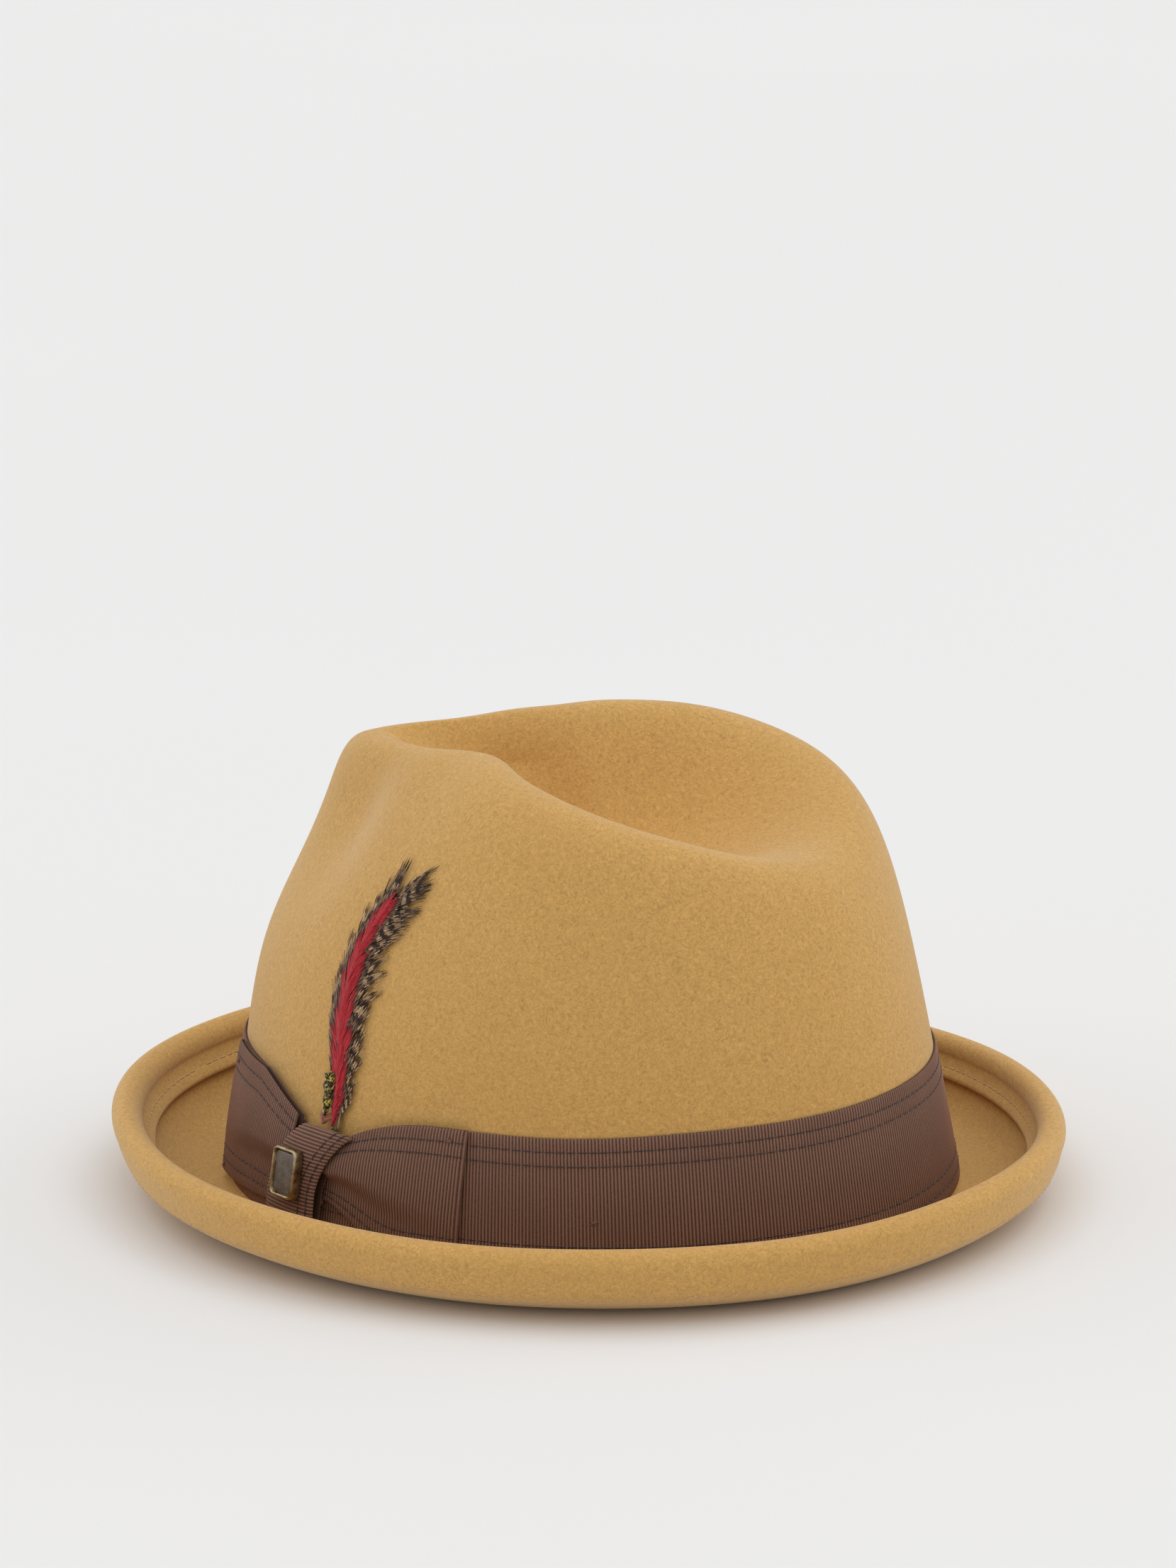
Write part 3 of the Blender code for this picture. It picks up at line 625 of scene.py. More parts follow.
def make_loop(name, end):
    """One bow loop: the ribbon runs out, folds over its end and comes back beneath."""
    reach_mm = abs(end - BOW_MIDDLE) * (1.74 if end < BOW_MIDDLE else 1.80)
    ribs = int(reach_mm / (RIB / MM))
    steps = np.linspace(LOOP_START, 1, int(ribs * (1 - LOOP_START) * PER_RIB))
    across = np.concatenate([[0, 0.01, 0.04], np.linspace(0.075, 0.925, 35), [0.96, 0.99, 1.0]])
    share, cross = np.meshgrid(steps, across, indexing="ij")
    angle, height, stand = loop_place(end, share, cross)
    rib = rib_wave(share * ribs)
    edge = np.minimum(cross, 1 - cross) * LOOP_WIDTH
    dent = sum(row_dent(edge - r) for r in ROWS_FROM_EDGE)
    rounding = 0.2 * MM * np.exp(-edge / (0.25 * MM))
    fold_share = 1.2 / reach_mm
    tuck = 0.55 * MM * ease((share - (1 - fold_share)) / fold_share) ** 2
    height = height + np.where(cross > 0.5, 1, -1) * 0.12 * MM * rib * (edge < 0.5 * MM)
    outer = skin(angle, height, stand - RIB_HIGH * (1 - rib) - dent - rounding - tuck)
    under = skin(angle, height, stand - 0.55 * MM - tuck * 0.2)
    parts = [tube_grid(np.concatenate([outer, under[:, ::-1]], 1))]
    # the loop's underside gets a low value: painted shade, darker than the crests
    rib_values = [np.concatenate([rib, np.full_like(rib, 0.25)], 1).ravel()]
    along_values = [np.concatenate([height, height[:, ::-1]], 1).ravel() / MM]
    # the layer beneath, back from the fold to the knot
    back = slice(None, None, PER_RIB // 2)
    low = back_stand(stand[back])
    outer, under = (skin(angle[back], height[back], low - deeper) for deeper in (0.0, 0.28 * MM))
    parts.append(tube_grid(np.concatenate([outer, under[:, ::-1]], 1)))
    # the layer beneath gets a low value too: painted shade
    rib_values.append(np.full(2 * low.size, 0.35))
    along_values.append(np.zeros(2 * low.size))
    # the rounded fold at the end
    turns = np.linspace(0, np.pi, 9)
    a, h, s = (v[:, None] for v in loop_place(end, np.ones(len(across)), across))
    high, low = s - tuck[-1][:, None], back_stand(s) - 0.3 * MM
    middle, half = (high + low) / 2, (high - low) / 2
    sweep = np.sign(end - BOW_MIDDLE) * 0.5 / 1.75
    outer = skin(a + sweep * np.sin(turns), h, middle + half * np.cos(turns))
    inner = skin(a + sweep * (0.3 * np.sin(turns[::-1]) - 1), h, middle + 0.35 * half * np.cos(turns[::-1]))
    parts.append(tube_grid(np.concatenate([outer, inner], 1)))
    # across the outer fold, two light lines with dark between are painted highlights and shade; the inside of
    # the fold is painted dark as shade
    fold_rib = np.concatenate([np.abs(np.cos(turns * 1.5)) ** 0.7 * 0.9, np.full(len(turns), 0.1)])
    rib_values.append(np.tile(fold_rib, len(across)))
    along_values.append(np.repeat(h / MM, len(fold_rib)))
    add_piece(name, join_parts(parts), RIBBON_MAT, "ribbon", "bow_loops",
              rib=np.concatenate(rib_values), along=np.concatenate(along_values))

    rows = []
    length = reach_mm * MM * 0.885
    pitch = length / round(length / (3.1 * MM))
    insets = [r / LOOP_WIDTH for r in ROWS_FROM_EDGE]
    for cross_at in (*insets, *(1 - inset for inset in insets)):
        def at(s, lift):
            along = 0.115 + s / (reach_mm * MM)
            a, h, w = loop_place(end, along, cross_at + 0 * along)
            return skin(a, h, w - 0.11 * MM + lift)

        rows.append(stitch_row(at, length, pitch, pitch * 0.87))
    add_piece(name + "_stitches", join_parts(rows), STITCH_DARK, "dark_thread")


KNOT_ANGLE, KNOT_HALF = 63.0, 5.5
KNOT_Z = (3.5 * MM, 30.5 * MM)
KNOT_W = (2.9 * MM, 7.2 * MM)
KNOT_HALF_MM = 9.6
KNOT_ROWS = (1.9 * MM, 4.6 * MM)


def knot_line(count):
    """Closed line of the knot's wrap in (height, stand), evenly spaced, from the middle of its back."""
    turn = np.linspace(0, 2 * np.pi, 1441) + np.pi
    mz, hz = sum(KNOT_Z) / 2, (KNOT_Z[1] - KNOT_Z[0]) / 2
    mw, hw = sum(KNOT_W) / 2, (KNOT_W[1] - KNOT_W[0]) / 2
    c, s = np.cos(turn), np.sin(turn)
    z = mz + hz * np.sign(s) * np.abs(s) ** 0.55
    w = mw + hw * np.sign(c) * np.abs(c) ** 0.55
    steps = np.concatenate([[0], np.cumsum(np.hypot(np.diff(z), np.diff(w)))])
    at = np.linspace(0, steps[-1], count, endpoint=False)
    return np.interp(at, steps, z), np.interp(at, steps, w), steps[-1]


def knot_place(z, w, across, inset=0.0):
    """Point on the knot. across runs from -1 at its front edge to 1 at its rear edge."""
    mid_z, mid_w = sum(KNOT_Z) / 2, sum(KNOT_W) / 2
    lean = 5.3 * (np.maximum(z - 12 * MM, 0) / (17.7 * MM)) ** 1.9
    angle = KNOT_ANGLE + KNOT_HALF * across + lean
    puff = (1 - np.abs(across) ** 3) * 0.7 * MM - 0.5 * MM
    scale_z = (z - mid_z) / ((KNOT_Z[1] - KNOT_Z[0]) / 2)
    w = w + puff * (w > mid_w) - inset * np.sign(w - mid_w) * np.minimum(1, np.abs(w - mid_w) / (1.2 * MM))
    z = z - inset * np.sign(scale_z) * np.abs(scale_z) ** 4 + puff * 0.6 * scale_z ** 5
    return skin(angle, z, w)


def make_knot():
    length = knot_line(10)[2]
    count = int(round(length / RIB)) * PER_RIB
    z, w, _ = knot_line(count)
    rib = rib_wave(np.arange(count) / PER_RIB)[:, None]
    outside = np.array([0.9, 0.95, 0.985, 1])
    across = np.concatenate([-outside[::-1], np.linspace(-0.82, 0.82, 22), outside])[None]
    edge = (1 - np.abs(across)) * KNOT_HALF_MM * MM
    dent = sum(row_dent(edge - r) for r in KNOT_ROWS) * (across > 0)
    rounding = 0.4 * MM * np.exp(-edge / (0.35 * MM))
    zigzag = 0.022 * rib * (edge < 0.6 * MM) * np.sign(across)
    inset = RIB_HIGH * 1.1 * (1 - rib) + dent + rounding
    outer = knot_place(z[:, None], w[:, None], across + zigzag, inset)
    inner = knot_place(z[:, None], w[:, None], across[:, ::-1], 0.75 * MM)
    hidden = np.zeros(inner.shape[:2])
    # the wrap's hidden inner side gets a low value: painted shade, darker than the crests
    add_piece("bow_knot_wrap", tube_grid(np.concatenate([outer, inner], 1), True), RIBBON_MAT, "ribbon",
              "bow_knot", rib=np.concatenate([rib + hidden, hidden + 0.15], 1),
              along=np.concatenate([across * KNOT_HALF_MM + hidden, hidden], 1))
    rows = []
    fine = 2000
    z, w, length = knot_line(fine)
    for inset in KNOT_ROWS:
        def at(s, lift):
            i = np.clip((s / length * fine).astype(int), 0, fine - 1)
            return knot_place(z[i], w[i], 1 - inset / (KNOT_HALF_MM * MM), 0.10 * MM - lift)

        rows.append(stitch_row(at, length, 3.1 * MM, 2.6 * MM))
    add_piece("bow_knot_stitches", join_parts(rows), STITCH_DARK, "dark_thread")


def make_tacks():
    """Short hand stitches, each a few crossing threads and a loose end, at a plan angle and a height in mm."""
    places = {"bow_tack_front_top": (32.6, 33.8), "bow_tack_front_bottom": (32.6, 4.6),
              "bow_tack_rear_top": (91.6, 34.2), "bow_tack_rear_bottom": (91.8, 4.6),
              "band_tack": (114.0, 15.2)}
    s = np.linspace(-1, 1, 9)
    for name, (angle, height) in places.items():
        height *= MM
        if name.startswith("bow"):
            end = BOW_ENDS[0] if angle < BOW_MIDDLE else BOW_ENDS[1]
            share = (angle - BOW_MIDDLE) / (end - BOW_MIDDLE)
            stand = loop_place(end, share, (height - 2.3 * MM) / (36 * MM))[2]
        else:
            stand = BAND_STAND
        p, around, up, out = skin.axes(angle, height, stand)
        parts = []
        rng = np.random.default_rng(len(name))
        for tilt, reach in ((0.35, 1.0), (-0.5, 0.8), (1.2, 0.55)):
            direction = around * math.cos(tilt) + up * math.sin(tilt)
            path = p + direction * (s * reach * MM)[:, None] + out * ((1 - s ** 2) * 0.32 * MM)[:, None]
            path = path + rng.normal(0, 0.04 * MM, path.shape)
            parts.append(tube_parts(path, 0.16 * MM, hint=out))
        aside, raised = np.linspace(0, 0.8, 6)[:, None], np.linspace(0.2, 0.75, 6)[:, None]
        parts.append(tube_parts(p + (around * aside + out * raised) * MM, 0.09 * MM, 5, hint=up))
        add_piece(name + "_thread", join_parts(parts), STITCH_TACK, "dark_thread", name)


# Badge

def metal_material(name, colours, roughness, bump_mm):
    m = Nodes(name, roughness, 1.0)
    patina = m.noise(420.0, 4.0, 0.6)
    fine = m.noise(1800.0, 3.0, 0.6)
    cloud = m.spread(m.total((patina, 0.6), (fine, 0.4)), 0.35, 0.65)
    colour = m.ramp(cloud, list(zip((0.0, 0.5, 1.0), colours)))
    rough = m.spread(patina, 0.3, 0.7, roughness - 0.08, roughness + 0.14)
    return m.done(colour, m.bump(fine, bump_mm * MM, 0.5), rough)


def rounded_outline(width, height, corner, sides=8):
    outline = []
    for k, (sx, sy) in enumerate(((1, 1), (-1, 1), (-1, -1), (1, -1))):
        for j in range(sides + 1):
            turn = math.radians(90 * (k + j / sides))
            outline.append((sx * (width / 2 - corner) + corner * math.cos(turn),
                            sy * (height / 2 - corner) + corner * math.sin(turn)))
    return np.array(outline)


def make_badge():
    """Cast frame, recessed face and rivet. A level is a loop's inset, corner radius and height in mm."""
    origin, _, _, out = skin.axes(63.4, 17.2 * MM, 7.3 * MM)
    across = unit(np.cross([0, 0, 1], out))
    rise = np.cross(out, across)
    brass = ((0.20, 0.15, 0.085), (0.42, 0.33, 0.20), (0.62, 0.52, 0.36))
    steel = ((0.16, 0.138, 0.118), (0.22, 0.195, 0.168), (0.30, 0.268, 0.232))
    brass = metal_material("antique_brass", brass, 0.30, 0.01)
    steel = metal_material("dull_grey_metal", steel, 0.55, 0.04)

    def place(line, level):
        return origin + (across * line[:, :1] + rise * line[:, 1:] + out * level) * MM

    def solid(levels):
        return tube_grid(np.array([place(rounded_outline(10.0 - 2 * inset, 13.5 - 2 * inset, corner), level)
                                   for inset, corner, level in levels]))

    frame_levels = [(0.25, 1.8, 0.0), (0.05, 2.0, 0.12), (0.0, 2.0, 0.3), (0.0, 2.0, 2.4), (0.04, 2.0, 2.6),
                    (0.14, 1.9, 2.78), (0.30, 1.8, 2.9), (0.5, 1.6, 2.95), (0.68, 1.5, 2.9), (0.8, 1.35, 2.76),
                    (0.9, 1.25, 2.5), (1.0, 1.2, 2.1), (1.12, 1.1, 1.95)]
    face_levels = [(1.2, 1.0, 1.9), (1.2, 1.0, 2.15), (1.3, 0.95, 2.3), (1.7, 0.8, 2.34), (3.2, 0.6, 2.38),
                   (4.3, 0.5, 2.39)]
    # the rivet's levels are radius and height
    rivet_levels = [(0.9, -1.8), (1.25, -1.72), (1.3, -1.5), (1.0, -1.38), (0.6, -1.3), (0.6, -0.4),
                    (0.5, -0.3)]
    turns = full_turn(24)
    circle = np.stack([np.cos(turns), np.sin(turns)], -1)
    rivet = tube_grid(np.array([place(circle * radius, level) for radius, level in rivet_levels]))
    add_piece("badge_frame_cast", solid(frame_levels), brass, "badge_brass", "badge_frame")
    add_piece("badge_face_plate", solid(face_levels), steel, "badge_face", "badge_inlay")
    add_piece("badge_rivet_post", rivet, steel, "badge_face", "badge_rivet")


# Feathers, on a body of their own

# The feathers' middle line: plan angle over height in mm
LINE_HEIGHTS = (10, 22, 34, 45, 56, 67, 74, 78, 84, 87, 92, 96, 102, 110)
LINE_ANGLES = (67.2, 67.7, 68.1, 67.6, 66.2, 65.0, 65.1, 65.8, 67.9, 69.4, 72.0, 74.6, 78.6, 84.0)
FEATHER_LINE = np.polyfit(LINE_HEIGHTS, LINE_ANGLES, 6)
LINE_FOOT, LINE_LENGTH = 10.0, 98.5
FEATHER_HINT = (0.3, 0.95, 0.2)


def feather_line(share):
    """Plan angle and height of the feathers' middle line, from the stem's foot (0) to the tips (1)."""
    share = np.asarray(share, float)
    height = LINE_FOOT + LINE_LENGTH * share * (1 - 0.06 * share ** 2)
    return np.polyval(FEATHER_LINE, height), height * MM


def feather_point(share, side, stand):
    """Point beside the middle line: side and stand in metres. The bunch curves back at its sides."""
    share, side, stand = np.broadcast_arrays(share, side, stand)
    angle, height = feather_line(share)
    here = skin(angle, height, 0.0)
    along = unit(skin(*feather_line(share + 0.01), 0.0) - here)
    out = unit(skin(angle, height, MM) - here)
    drop = side ** 2 / (2 * 78 * MM)
    return here + np.cross(along, out) * side[..., None] + out * (stand - drop)[..., None]


def vane_length(root, first, peak, last, most, tail):
    """Length of a barb at a share of the shaft: short at the foot, longest at the peak."""
    if root < peak:
        return most * (0.35 + 0.65 * math.sin(math.pi / 2 * max(0.0, (root - first) / (peak - first))))
    past = min(1.0, (root - peak) / (last - peak))
    return most * (tail + (1 - tail) * math.cos(math.pi / 2 * past) ** 0.8)


def barbs(rng, count, vane, lean, stand, side, droop, root_side, ragged, curl=0.0, segments=7):
    """Barbs on one side of a shaft, as (middle line, share of the shaft, shade). vane is what vane_length takes
    after root, and side is 1 or -1."""
    made = []
    first, _, last = vane[:3]
    t = np.linspace(0, 1, segments)
    for k in range(count):
        if k % 11 == 0:
            clump, clump_reach = rng.normal(0, 0.3) * ragged, 1 - ragged * rng.uniform(0, 0.6)
        root = first + (last - first) * (k + rng.uniform(-0.4, 0.4)) / count
        reach = vane_length(root, *vane) * (1 - 0.6 * ragged * rng.uniform(0, 1) ** 2) * clump_reach
        angle = lean * (1 + rng.normal(0, 0.05)) + 0.12 * rng.normal() * ragged + clump
        sideways = side * reach * (np.sin(angle) * t + curl * t ** 2)
        forward = reach * (np.cos(angle) * t + 0.12 * t ** 2)
        share = np.minimum(root + forward / (LINE_LENGTH * MM), 1.12)
        lift = stand + rng.normal(0, 0.06 * MM) - droop * t ** 2
        made.append((feather_point(share, root_side + sideways, lift), root, rng.uniform()))
    return made


def feather_piece(name, made, thick, material, slot, replaced):
    """Thin three-sided barbs from what barbs() made, with their places and shades for the material."""
    sides = 3
    parts, root, reach, shade = [], [], [], []
    for path, place, tone in made:
        t = np.linspace(0, 1, len(path))
        taper = thick * (0.35 + 0.65 * np.sqrt(1 - t))
        parts.append(tube_parts(path, taper, sides, flat=0.8, hint=FEATHER_HINT))
        root.append(np.full(sides * len(path), place))
        reach.append(np.repeat(t, sides))
        shade.append(np.full(sides * len(path), tone))
    add_piece(name, join_parts(parts), material, slot, replaced, "feather_bunch",
              root=np.concatenate(root), reach=np.concatenate(reach), shade=np.concatenate(shade))


def feather_base(name, sheen):
    return Nodes(name, 0.62, 0.0, sheen, 0.35, specular=0.3)


def red_material():
    m = feather_base("red_feather", 0.3)
    off_shade = m.math("SUBTRACT", m.attribute("shade"), 0.5)
    place = m.total((m.attribute("reach"), 1.0), (off_shade, 0.22))
    colour = m.ramp(place, [(0.0, (0.50, 0.018, 0.030)), (0.50, (0.58, 0.022, 0.036)),
                            (0.66, (0.34, 0.018, 0.022)), (0.78, (0.05, 0.018, 0.014)),
                            (0.88, (0.36, 0.25, 0.16)), (1.0, (0.06, 0.035, 0.025))])
    fine = m.noise(900.0)
    colour = m.mix(m.spread(fine, 0.5, 0.8, 0.0, 0.35), colour, (0.20, 0.012, 0.014))
    return m.done(colour, m.bump(fine, 0.0001, 0.4))


def barred_material():
    """Cream barbs crossed by dark bars that follow the vane's own growth lines."""
    m = feather_base("barred_feather", 0.2)
    root, reach, shade = m.attribute("root"), m.attribute("reach"), m.attribute("shade")
    waver = m.noise(160.0)
    line = m.total((root, 23.0), (reach, 2.7), (waver, 0.7), (shade, 0.30))
    bar = m.math("SINE", m.total((line, 2 * math.pi)))
    cream = m.mix(m.total((shade, 0.9)), (0.78, 0.54, 0.32), (0.20, 0.10, 0.05))
    colour = m.mix(m.spread(bar, -0.35, 0.1), cream, (0.040, 0.020, 0.013))
    tip = m.math("MULTIPLY", m.spread(root, 0.72, 0.86), m.spread(reach, 0.35, 0.9))
    colour = m.mix(tip, colour, (0.030, 0.020, 0.016))
    return m.done(colour, m.bump(waver, 0.0001, 0.3))


def gold_material():
    m = feather_base("gold_feather", 0.3)
    fleck = m.noise(1050.0, 2.0, 0.6)
    patch = m.noise(420.0)
    colour = m.ramp(m.spread(fleck, 0.38, 0.62), [(0.0, (0.012, 0.010, 0.007)), (0.50, (0.03, 0.022, 0.010)),
                                                  (0.62, (0.50, 0.37, 0.045)), (1.0, (0.78, 0.62, 0.16))])
    colour = m.mix(m.spread(patch, 0.50, 0.66), colour, (0.018, 0.014, 0.009))
    return m.done(colour, m.bump(fleck, 0.0002, 0.4))


def pink_material():
    m = feather_base("pink_feather", 0.4)
    colour = m.ramp(m.attribute("reach"), [(0.0, (0.42, 0.115, 0.075)), (0.6, (0.58, 0.20, 0.13)),
                                           (1.0, (0.40, 0.15, 0.10))])
    colour = m.mix(m.total((m.attribute("shade"), 0.4)), colour, (0.28, 0.06, 0.05))
    return m.done(colour, m.bump(m.noise(1500.0, 1.0), 0.0001, 0.3))


def horn_material():
    m = Nodes("quill_horn", 0.4)
    streak = m.noise(900.0)
    colour = m.ramp(streak, [(0.3, (0.20, 0.12, 0.065)), (0.7, (0.48, 0.34, 0.20))])
    return m.done(colour, m.bump(streak, 0.0001, 0.3), m.spread(streak, 0.3, 0.7, 0.32, 0.5))


def make_feathers():
    """Barred vanes on two shafts, the red feather over them, the gold tuft, the fluff and the bound quills."""
    rng = np.random.default_rng(21)
    made = []
    for root_side, side, first, last, lean, stand, most in (
            (1.8, 1, 0.25, 0.89, 0.62, 1.5, 14.5), (1.4, -1, 0.27, 0.84, 0.34, 1.3, 12.0),
            (-0.4, 1, 0.30, 0.92, 0.42, 1.1, 13.0), (-1.2, -1, 0.27, 0.86, 0.66, 1.1, 14.0)):
        vane = (first, 0.50, last, most * MM, 0.72)
        made += barbs(rng, 290, vane, lean, stand * MM, side, 0.5 * MM, root_side * MM, 0.42)
    feather_piece("feather_barred_vane", made, 0.15 * MM, barred_material(), "barred_feather", "feather_barred")
    made = []
    for side, most, lean, stand in ((-1, 13.0, 0.48, 2.3), (1, 11.0, 0.40, 2.3),
                                    (-1, 8.5, 0.30, 2.6), (1, 7.5, 0.26, 2.6)):
        vane = (0.215, 0.40, 0.84, most * MM, 0.42)
        made += barbs(rng, 380, vane, lean, stand * MM, side, 0.75 * MM, 0.2 * MM, 0.3)
    feather_piece("feather_red_vane", made, 0.15 * MM, red_material(), "red_feather", "feather_red")
    made = []
    vane = (0.235, 0.28, 0.335, 4.6 * MM, 0.6)
    for side in (-1, 1):
        for stand in (2.9, 3.5):
            made += barbs(rng, 190, vane, 0.5, stand * MM, side, 0.7 * MM, -2.9 * MM, 0.35, segments=5)
    feather_piece("feather_gold_tuft_barbs", made, 0.15 * MM, gold_material(), "gold_feather",
                  "feather_gold_tuft")
    made = []
    vane = (0.21, 0.222, 0.235, 2.6 * MM, 0.7)
    for side in (-1, 1):
        made += barbs(rng, 45, vane, 0.9, 2.7 * MM, side, 0.6 * MM, -3.6 * MM, 0.5, curl=0.35, segments=6)
    feather_piece("feather_fluff_barbs", made, 0.10 * MM, pink_material(), "pink_feather", "feather_fluff")

    parts = []
    foot = 0.205
    for side, stand, last, radius in ((1.4, 1.4, 0.92, 0.34), (-0.8, 1.1, 0.93, 0.34), (0.2, 2.05, 0.80, 0.30)):
        share = np.linspace(foot, last, 60)
        taper = radius * MM * (1 - 0.82 * (share - foot) / (last - foot))
        parts.append(tube_parts(feather_point(share, side * MM, stand * MM), taper, 8, hint=FEATHER_HINT))
    stem = np.linspace(0.0, 0.215, 24)
    for side, stand in ((0.35, 1.3), (-0.35, 1.3), (0.0, 1.75)):
        parts.append(tube_parts(feather_point(stem, side * MM, stand * MM), 0.42 * MM, 8, hint=FEATHER_HINT))
    turns = full_turn(28)
    for k in range(9):
        side, stand = 0.95 * MM * np.cos(turns), 1.45 * MM + 0.85 * MM * np.sin(turns)
        parts.append(tube_parts(feather_point(0.07 + 0.0045 * k, side, stand), 0.20 * MM, closed=True))
    add_piece("feather_quills_bound", join_parts(parts), horn_material(), "barred_feather", "feather_quills",
              "feather_bunch")


# Inside

def leather_material():
    m = Nodes("sweatband_leather", 0.5, specular=0.4)
    cells = m.node("ShaderNodeTexVoronoi", {"Vector": m.where, "Scale": 950.0}, feature="F1").outputs[0]
    fine = m.noise(2200.0, 3.0)
    wear = m.noise(45.0, 4.0)
    colour = m.ramp(m.spread(wear, 0.3, 0.7), [(0.0, (0.075, 0.036, 0.020)), (0.5, (0.125, 0.062, 0.034)),
                                               (1.0, (0.19, 0.10, 0.055))])
    colour = m.mix(m.spread(cells, 0.0, 0.5, 0.35, 0.0), colour, (0.035, 0.018, 0.012))
    height = m.total((cells, 0.7), (fine, 0.3))
    return m.done(colour, m.bump(height, 0.0002, 0.5), m.spread(wear, 0.3, 0.7, 0.42, 0.6))


def satin_material():
    m = Nodes("lining_satin", 0.36, sheen=0.2)
    weft = m.noise(1.0, vector=m.stretch(m.where, (900.0, 900.0, 5200.0)))
    warp = m.noise(1.0, 1.0, vector=m.stretch(m.where, (3800.0, 3800.0, 500.0)))
    dark, light = (0.085, 0.045, 0.032), (0.155, 0.086, 0.060)
    colour = m.ramp(m.spread(weft, 0.35, 0.65), [(0.0, dark), (1.0, light)])
    colour = m.mix(m.spread(m.noise(30.0), 0.35, 0.7, 0.0, 0.4), colour, (0.20, 0.115, 0.080))
    height = m.total((weft, 1.0), (warp, 0.6))
    return m.done(colour, m.bump(height, 0.00006, 0.5), m.spread(warp, 0.3, 0.7, 0.30, 0.44))


def inside_ring(name, section_at, columns, rows, material, slot, replaced):
    """Closed band inside the crown. section_at(angle, share) gives height and stand around its section."""
    angle = np.linspace(0, 360, columns, endpoint=False)[:, None]
    share = np.linspace(0, 1, rows, endpoint=False)[None]
    add_piece(name, tube_grid(skin(angle, *section_at(angle, share)), True), material, slot, replaced)


def up_and_down(share):
    """How far up a band's section has run, up outside and back down inside, and whether it is inside."""
    return np.clip(share * 2, 0, 1) - np.clip(share * 2 - 1, 0, 1), share > 0.5


def cord_section(height, stand, radius, bead, beads):
    """Section of a round cord on the wall (mm), with so many slight beads around the hat."""
    def section(angle, share):
        turn = 2 * np.pi * share
        r = radius + bead * np.cos(np.radians(angle) * beads)
        return (height + r * np.sin(turn)) * MM, (stand - r * np.cos(turn)) * MM
    return section


def sweatband_section(angle, share):
    a = np.radians(angle)
    up, inner = up_and_down(share)
    height = 1.9 * MM + (31.6 * MM + 0.35 * MM * wander(a, (3, 5, 8, 13), 31)) * up
    lean = -(0.28 + 0.22 * wander(a, (4, 6, 9), 32)) * MM * up ** 2
    groove = 0.16 * MM * np.exp(-(((height - 29.5 * MM) / (0.5 * MM)) ** 2))
    thick = 0.85 * MM * np.minimum(1, np.minimum(up, 1 - up) * 60 + 0.35)
    return height, -2.35 * MM + lean - inner * (thick - groove)


def lining_section(angle, share):
    """The side cloth, gathered towards the tip."""
    a = np.radians(angle)
    up, inner = up_and_down(share)
    gather = np.sin(23 * a + 1.3 * np.sin(3 * a) + 0.8 * np.sin(2.1 * up + 2 * a))
    fold = (0.5 + 0.5 * gather) ** 1.6 * (0.15 + 0.95 * up ** 1.3) * MM
    fine = 0.12 * MM * np.sin(61 * a + 4 * up + 2 * np.sin(5 * a)) * up
    stand = -(3.15 * MM + 0.35 * MM * np.sin(np.pi * up) + 0.55 * fold + 0.5 * fine)
    return 33.0 * MM + 52.0 * MM * up, stand - inner * 0.35 * MM


def lining_tip():
    """Points and faces of the oval cloth at the top of the lining, in rings towards its middle."""
    columns, rings = 480, 40
    angle = np.linspace(0, 360, columns, endpoint=False)
    rim = skin(angle, 85.7 * MM, -3.2 * MM)
    middle = np.array([BOWL_CENTRE[0], 0.0, 84.5 * MM + FOOT])
    thick = np.array([0, 0, 0.4 * MM])
    share = np.linspace(1, 0.02, rings)[None, :, None]
    top = middle + (rim[:, None] - middle) * share
    a = np.radians(angle)[:, None]
    tuck = 0.32 * MM * np.sin(31 * a + 1.1 * np.sin(4 * a)) * share[..., 0] ** 2
    top[..., 2] += tuck - 0.25 * MM * np.sin(np.pi * share[..., 0])
    grid = np.concatenate([top, (top - thick)[:, ::-1]], 1)
    n = 2 * rings
    here = np.arange(columns) * n
    after = np.roll(here, -1)
    centre = here * 0 + columns * n
    faces = [quads(columns, n, True)[:, ::-1], np.stack([here, after, after + n - 1, here + n - 1], -1),
             np.stack([centre, after + rings - 1, here + rings - 1], -1),
             np.stack([centre + 1, here + rings, after + rings], -1)]
    return np.concatenate([grid.reshape(-1, 3), [middle, middle - thick]]), faces


def make_inside():
    leather, satin = leather_material(), satin_material()
    inside_ring("sweatband_strip", sweatband_section, 480, 110, leather, "sweatband_leather", "sweatband")
    reed = cord_section(0.45, -3.2, 0.8, 0.05, 170)
    inside_ring("sweatband_reed_cord", reed, 1440, 10, leather, "sweatband_leather", "sweatband_reed")
    length, angle_at = oval_line(-3.3 * MM)

    def at(s, lift):
        return skin(np.degrees(angle_at(s)), 2.9 * MM, -3.22 * MM - lift)

    row = stitch_row(at, length - ROW_GAP, 3.2 * MM, 2.4 * MM, 0.18 * MM)
    add_piece("sweatband_stitches", row, STITCH_TAN, "tan_thread")
    inside_ring("lining_side_cloth", lining_section, 960, 88, satin, "lining", "lining_side")
    piping = cord_section(84.5, -4.75, 0.9, 0.06, 150)
    inside_ring("lining_piping_cord", piping, 1440, 10, satin, "lining", "lining_piping")
    add_piece("lining_tip_cloth", lining_tip(), satin, "lining", "lining_tip")
    make_sweatband_bow()


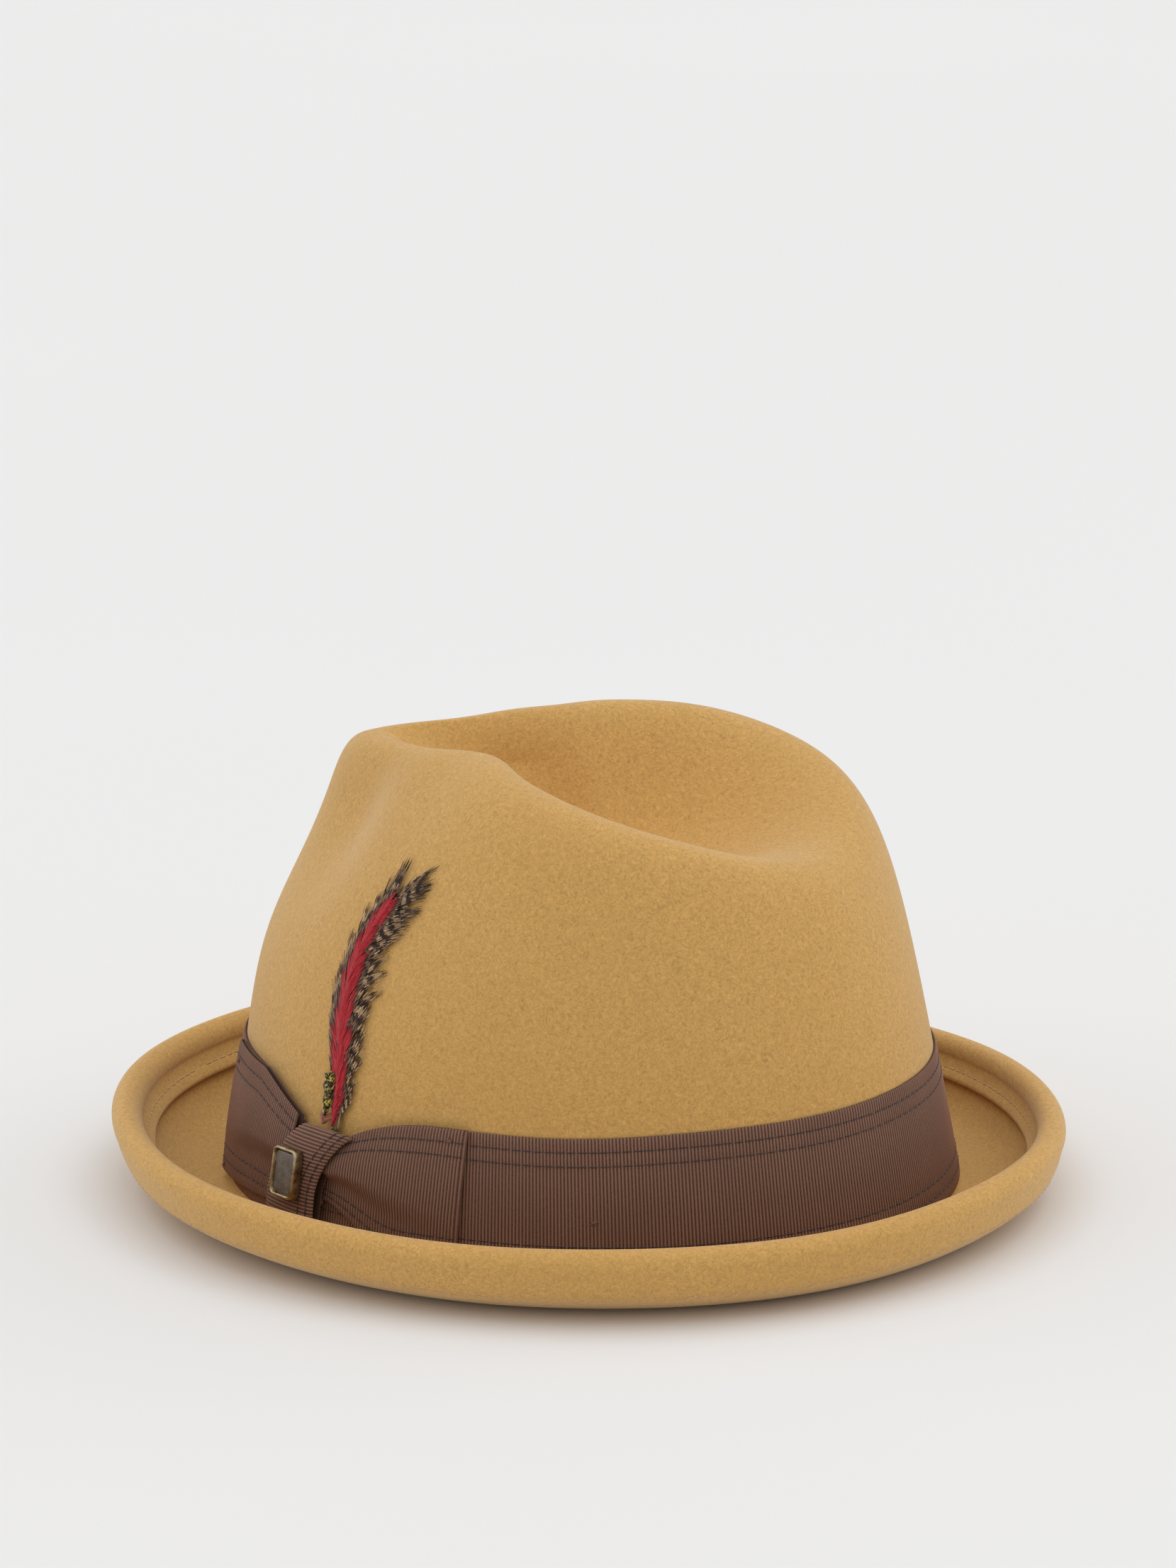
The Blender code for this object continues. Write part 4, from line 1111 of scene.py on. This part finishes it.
def make_sweatband_bow():
    """Small flat ribbon bow at the back of the head opening: two loops, two tails and a knot."""
    s = np.linspace(0, 2 * np.pi, 61)
    t = np.linspace(0, 1, 20)
    parts = []
    for side in (-1, 1):
        reach = 8.2 * MM * np.sin(s / 2) ** 1.3
        lift = 1.5 * MM * np.sin(s)
        half = (0.6 + 1.2 * np.sin(s / 2)) * MM
        parts.append(strap(180 + np.degrees(side * reach / (99 * MM)), 7.0 * MM + 0 * s,
                           -3.9 * MM - 0.35 * (lift + 1.5 * MM), half))
        parts.append(strap(180 + side * (0.2 + 3.6 * t), (7.0 - 3.4 * t ** 1.2) * MM, (-3.75 - 0.3 * t) * MM,
                           (0.8 + 0.7 * t) * MM))
    k = full_turn(24)
    ring = skin(180, 7.0 * MM + 1.7 * MM * np.cos(k), -4.45 * MM - 0.75 * MM * np.sin(k))
    parts.append(tube_parts(ring, 0.75 * MM, 8, closed=True, flat=0.45, hint=(0, 1, 0)))
    points, faces = join_parts(parts)
    add_piece("sweatband_bow_ribbon", (points, faces), RIBBON_MAT, "ribbon", "sweatband_bow",
              rib=0.45 + 0.3 * np.sin(np.arange(len(points)) * 1.7), along=points[:, 2] / MM)


def strap(angle, height, stand, half):
    """Flat ribbon along a line on the wall, half wide each way."""
    cross = np.array([-1, -0.5, 0, 0.5, 1])
    angle, height, stand, half = (v[:, None] for v in (angle, height, stand, half))
    upper, lower = (skin(angle, height + half * cross, stand + lift) for lift in (0.0, -0.22 * MM))
    return tube_grid(np.concatenate([upper, lower[:, ::-1]], 1))


# Camera, floor and light

CAMERA_TURN, CAMERA_RISE, CAMERA_ROLL = (math.radians(degrees) for degrees in (118.0, 19.1, -1.8))
CAMERA_DISTANCE = 1.7
# What the view's middle is off the hat's foot, to the right and up, as a share of the distance
AIM_RIGHT, AIM_UP = 0.001487, 0.06207


def view_axes(forward):
    """Unit directions to the right of a level view and up from it."""
    right = forward.cross(Vector((0, 0, 1))).normalized()
    return right, right.cross(forward)


def make_camera():
    """Camera at the photograph's angle. Gives its directions to the right and forward, for the lights."""
    level = math.cos(CAMERA_RISE)
    stand = Vector((level * math.cos(CAMERA_TURN), level * math.sin(CAMERA_TURN), math.sin(CAMERA_RISE)))
    stand = stand * CAMERA_DISTANCE
    forward = -stand.normalized()
    right, up = view_axes(forward)
    forward = (forward + right * AIM_RIGHT + up * AIM_UP).normalized()
    right, up = view_axes(forward)
    across = right * math.cos(CAMERA_ROLL) + up * math.sin(CAMERA_ROLL)
    upward = up * math.cos(CAMERA_ROLL) - right * math.sin(CAMERA_ROLL)
    camera = bpy.data.cameras.new("camera")
    camera.sensor_fit = "VERTICAL"
    camera.sensor_height = 36.0
    camera.sensor_width = 27.0
    camera.lens = 142.24
    camera.clip_end = 100.0
    holder = add_object("camera", camera)
    turned = Matrix((across, upward, -forward)).transposed().to_4x4()
    turned.translation = stand + Vector((0, 0, FOOT))
    holder.matrix_world = turned
    bpy.context.scene.camera = holder
    return across, forward


def make_floor():
    steps = np.linspace(-9.0, 9.0, 13)
    x, y = np.meshgrid(steps, steps, indexing="ij")
    grid = np.stack([x, y, 0 * x], -1).reshape(-1, 3)
    m = Nodes("pale_floor", 0.85, specular=0.2)
    colour = m.ramp(m.noise(1.4), [(0.3, (0.858, 0.855, 0.853)), (0.7, (0.872, 0.869, 0.867))])
    paper = m.done(colour, m.bump(m.noise(500.0), 0.0001, 0.1))
    new_mesh("floor", grid, [quads(len(steps), len(steps))], paper)


def add_sun(name, azimuth, elevation, spread, strength):
    """Far light from a direction in degrees, azimuth counted from behind the camera towards its right."""
    across, forward = camera_axes
    level = Vector((forward.x, forward.y, 0)).normalized()
    side = Vector((across.x, across.y, 0)).normalized()
    turn, rise = math.radians(azimuth), math.radians(elevation)
    toward = (side * math.sin(turn) - level * math.cos(turn)) * math.cos(rise)
    toward = toward + Vector((0, 0, math.sin(rise)))
    light = bpy.data.lights.new(name, "SUN")
    light.energy = strength
    light.angle = math.radians(spread)
    add_object(name, light).rotation_euler = toward.to_track_quat("Z", "Y").to_euler()


def make_light():
    world = bpy.data.worlds.new("studio")
    world.use_nodes = True
    background = world.node_tree.nodes["Background"]
    background.inputs["Color"].default_value = (1.0, 1.0, 1.0, 1.0)
    background.inputs["Strength"].default_value = 0.52
    bpy.context.scene.world = world
    add_sun("right", 100.0, 38.0, 70.0, 0.68)
    add_sun("left", -95.0, 38.0, 70.0, 0.52)
    add_sun("top", 175.0, 78.0, 60.0, 0.42)
    add_sun("front", 15.0, 62.0, 70.0, 0.34)


camera_axes = make_camera()
make_floor()
make_light()
make_felt()
make_brim_stitches()
make_band()
make_loop("bow_loop_front", BOW_ENDS[0])
make_loop("bow_loop_rear", BOW_ENDS[1])
make_knot()
make_tacks()
make_badge()
make_feathers()
make_inside()

bpy.context.scene.view_settings.view_transform = "Standard"
